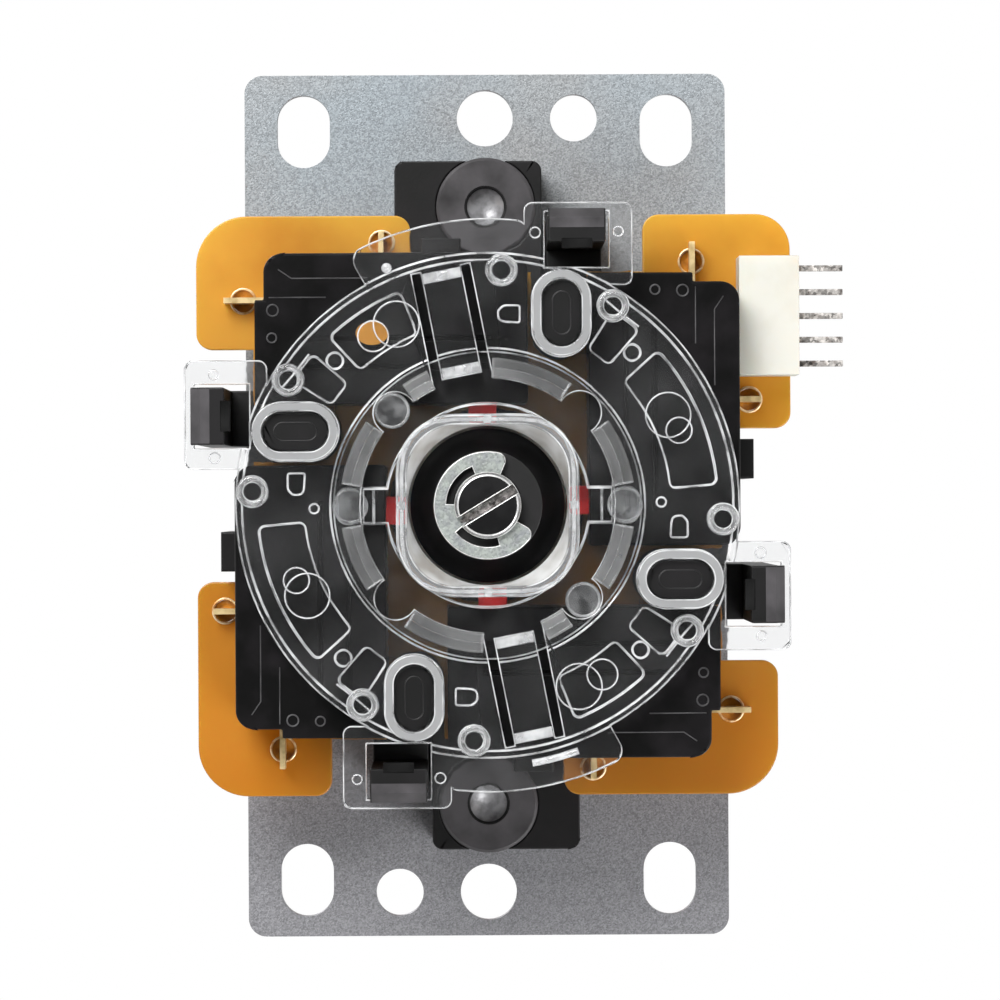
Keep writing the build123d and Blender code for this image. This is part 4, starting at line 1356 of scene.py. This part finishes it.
@dataclass
class Studio:
    """Camera, lamps, world and floor.

    Each lamp has its name, its place, the length of its side and its power in watts.
    """

    camera_place: tuple[float, float, float] = (-0.00055, 0.00185, -0.5266)
    aim: Place = (-0.00055, -0.00146)
    roll: float = 0.31
    lens: float = 171.2
    sensor: float = 36.0
    clip: Place = (0.01, 20.0)
    dark_patch: Place = (-0.90, -0.55)
    room_light: Place = (0.02, 0.75)
    white_above: float = 0.5
    floor_half: float = 3.0
    floor_roughness: float = 0.9
    floor_fade: Place = (0.12, 0.7)
    lamps: tuple[tuple[str, tuple[float, float, float], float, float], ...] = (
        ("below_front", (-0.32, 0.20, -0.45), 0.30, 4.2),
        ("below_back", (0.30, -0.30, -0.40), 0.30, 2.4),
        ("above_left", (-0.35, 0.35, 0.55), 0.40, 2.6),
        ("above_right", (0.40, -0.35, 0.45), 0.40, 1.2),
    )

    def build(self) -> None:
        """Set the camera, the lamps, the world and the floor."""
        bpy.context.scene.view_settings.view_transform = "Standard"
        self._camera()
        for name, place, size, power in self.lamps:
            self._lamp(name, Vector(place), size, power)
        self._world()
        self._floor()

    def _camera(self) -> None:
        """Look straight up at the underside, as the photograph does."""
        data = bpy.data.cameras.new("camera")
        data.lens = self.lens
        data.sensor_width = self.sensor
        data.clip_start, data.clip_end = self.clip
        place = Vector(self.camera_place)
        aim = Vector((*self.aim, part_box("mounting_plate")[0].z))
        forward = (aim - place).normalized()
        roll = math.radians(self.roll)
        up = Vector((-math.cos(roll), -math.sin(roll), 0.0))
        right = forward.cross(up).normalized()
        up = right.cross(forward).normalized()
        turn = Matrix((right, up, -forward)).transposed().to_4x4()
        camera = placed("camera", data)
        camera.matrix_world = Matrix.Translation(place) @ turn
        bpy.context.scene.camera = camera

    def _lamp(self, name: str, place: Vector, size: float, power: float) -> None:
        """Add one soft square lamp that faces the middle of the lever.

        Args:
            name: name of the lamp.
            place: where it stands.
            size: length of its side.
            power: its power in watts.
        """
        data = bpy.data.lights.new(name, "AREA")
        data.size = size
        data.energy = power
        lamp = placed(name, data)
        lamp.location = place
        lamp.rotation_euler = (-place).to_track_quat("-Z", "Y").to_euler()

    def _world(self) -> None:
        """White for what the camera and clear plastic see, and a softer light on the lever."""
        world = bpy.data.worlds.new("white_room")
        bpy.context.scene.world = world
        graph = Graph(world)
        path = graph.add("LightPath")
        place = graph.add("TexCoord").outputs["Generated"]
        height = graph.add("SeparateXYZ", {"Vector": place}).outputs["Z"]
        room = graph.span(height, self.dark_patch, self.room_light, smooth=True)
        upward = graph.add("Math", {0: height, 1: self.white_above}, operation="GREATER_THAN")
        behind = graph.add("Math", {0: path.outputs["Is Transmission Ray"],
                                    1: upward.outputs["Value"]}, operation="MULTIPLY")
        seen = graph.add("Math", {0: path.outputs["Is Camera Ray"],
                                  1: behind.outputs["Value"]}, operation="MAXIMUM")
        strength = graph.add("Mix", {"Factor": seen.outputs["Value"], "A": room, "B": 1.0},
                             data_type="FLOAT")
        graph.feed(graph.nodes["Background"], {"Color": WHITE, "Strength": strength.outputs["Result"]})

    def _floor(self) -> None:
        """Lay a pale floor under the lever, clear when it is seen from below."""
        height, half = CAD_BOX[0][2], self.floor_half
        mesh = bpy.data.meshes.new("floor")
        mesh.from_pydata([Vector((x * half, y * half, height))
                          for x, y in ((-1, -1), (1, -1), (1, 1), (-1, 1))], [], [(0, 1, 2, 3)])
        floor = placed("floor", mesh)
        paint = bpy.data.materials.new("pale_floor")
        graph = Graph(paint)
        pale = graph.feed(graph.nodes["Principled BSDF"],
                          {"Base Color": (*Shade.FLOOR.value, 1.0),
                           "Roughness": self.floor_roughness})
        glow = graph.add("Emission", {"Color": WHITE}).outputs["Emission"]
        place = graph.add("TexCoord").outputs["Object"]
        reach = graph.add("VectorMath", {0: place}, operation="LENGTH").outputs["Value"]
        far = graph.span(reach, self.floor_fade, smooth=True)
        fade = graph.mix(far, pale.outputs["BSDF"], glow)
        clear = graph.add("BsdfTransparent").outputs["BSDF"]
        choice = graph.mix(graph.add("NewGeometry").outputs["Backfacing"], fade, clear)
        graph.feed(graph.nodes["Material Output"], {"Surface": choice})
        mesh.materials.append(paint)
        floor.visible_shadow = False
        floor.visible_glossy = False
        floor.visible_transmission = False
        floor.visible_diffuse = False


def main() -> None:
    """Build the studio and each sub-assembly in order."""
    logging.basicConfig(level=logging.INFO, format="%(name)s: %(message)s")
    for assembly in (Studio(), PlateAndHousing(), Board(), Switches(), Gate(), GateMarks(), Lever()):
        assembly.build()
        log.info("built %s", type(assembly).__name__)


if __name__ == "__main__":
    main()
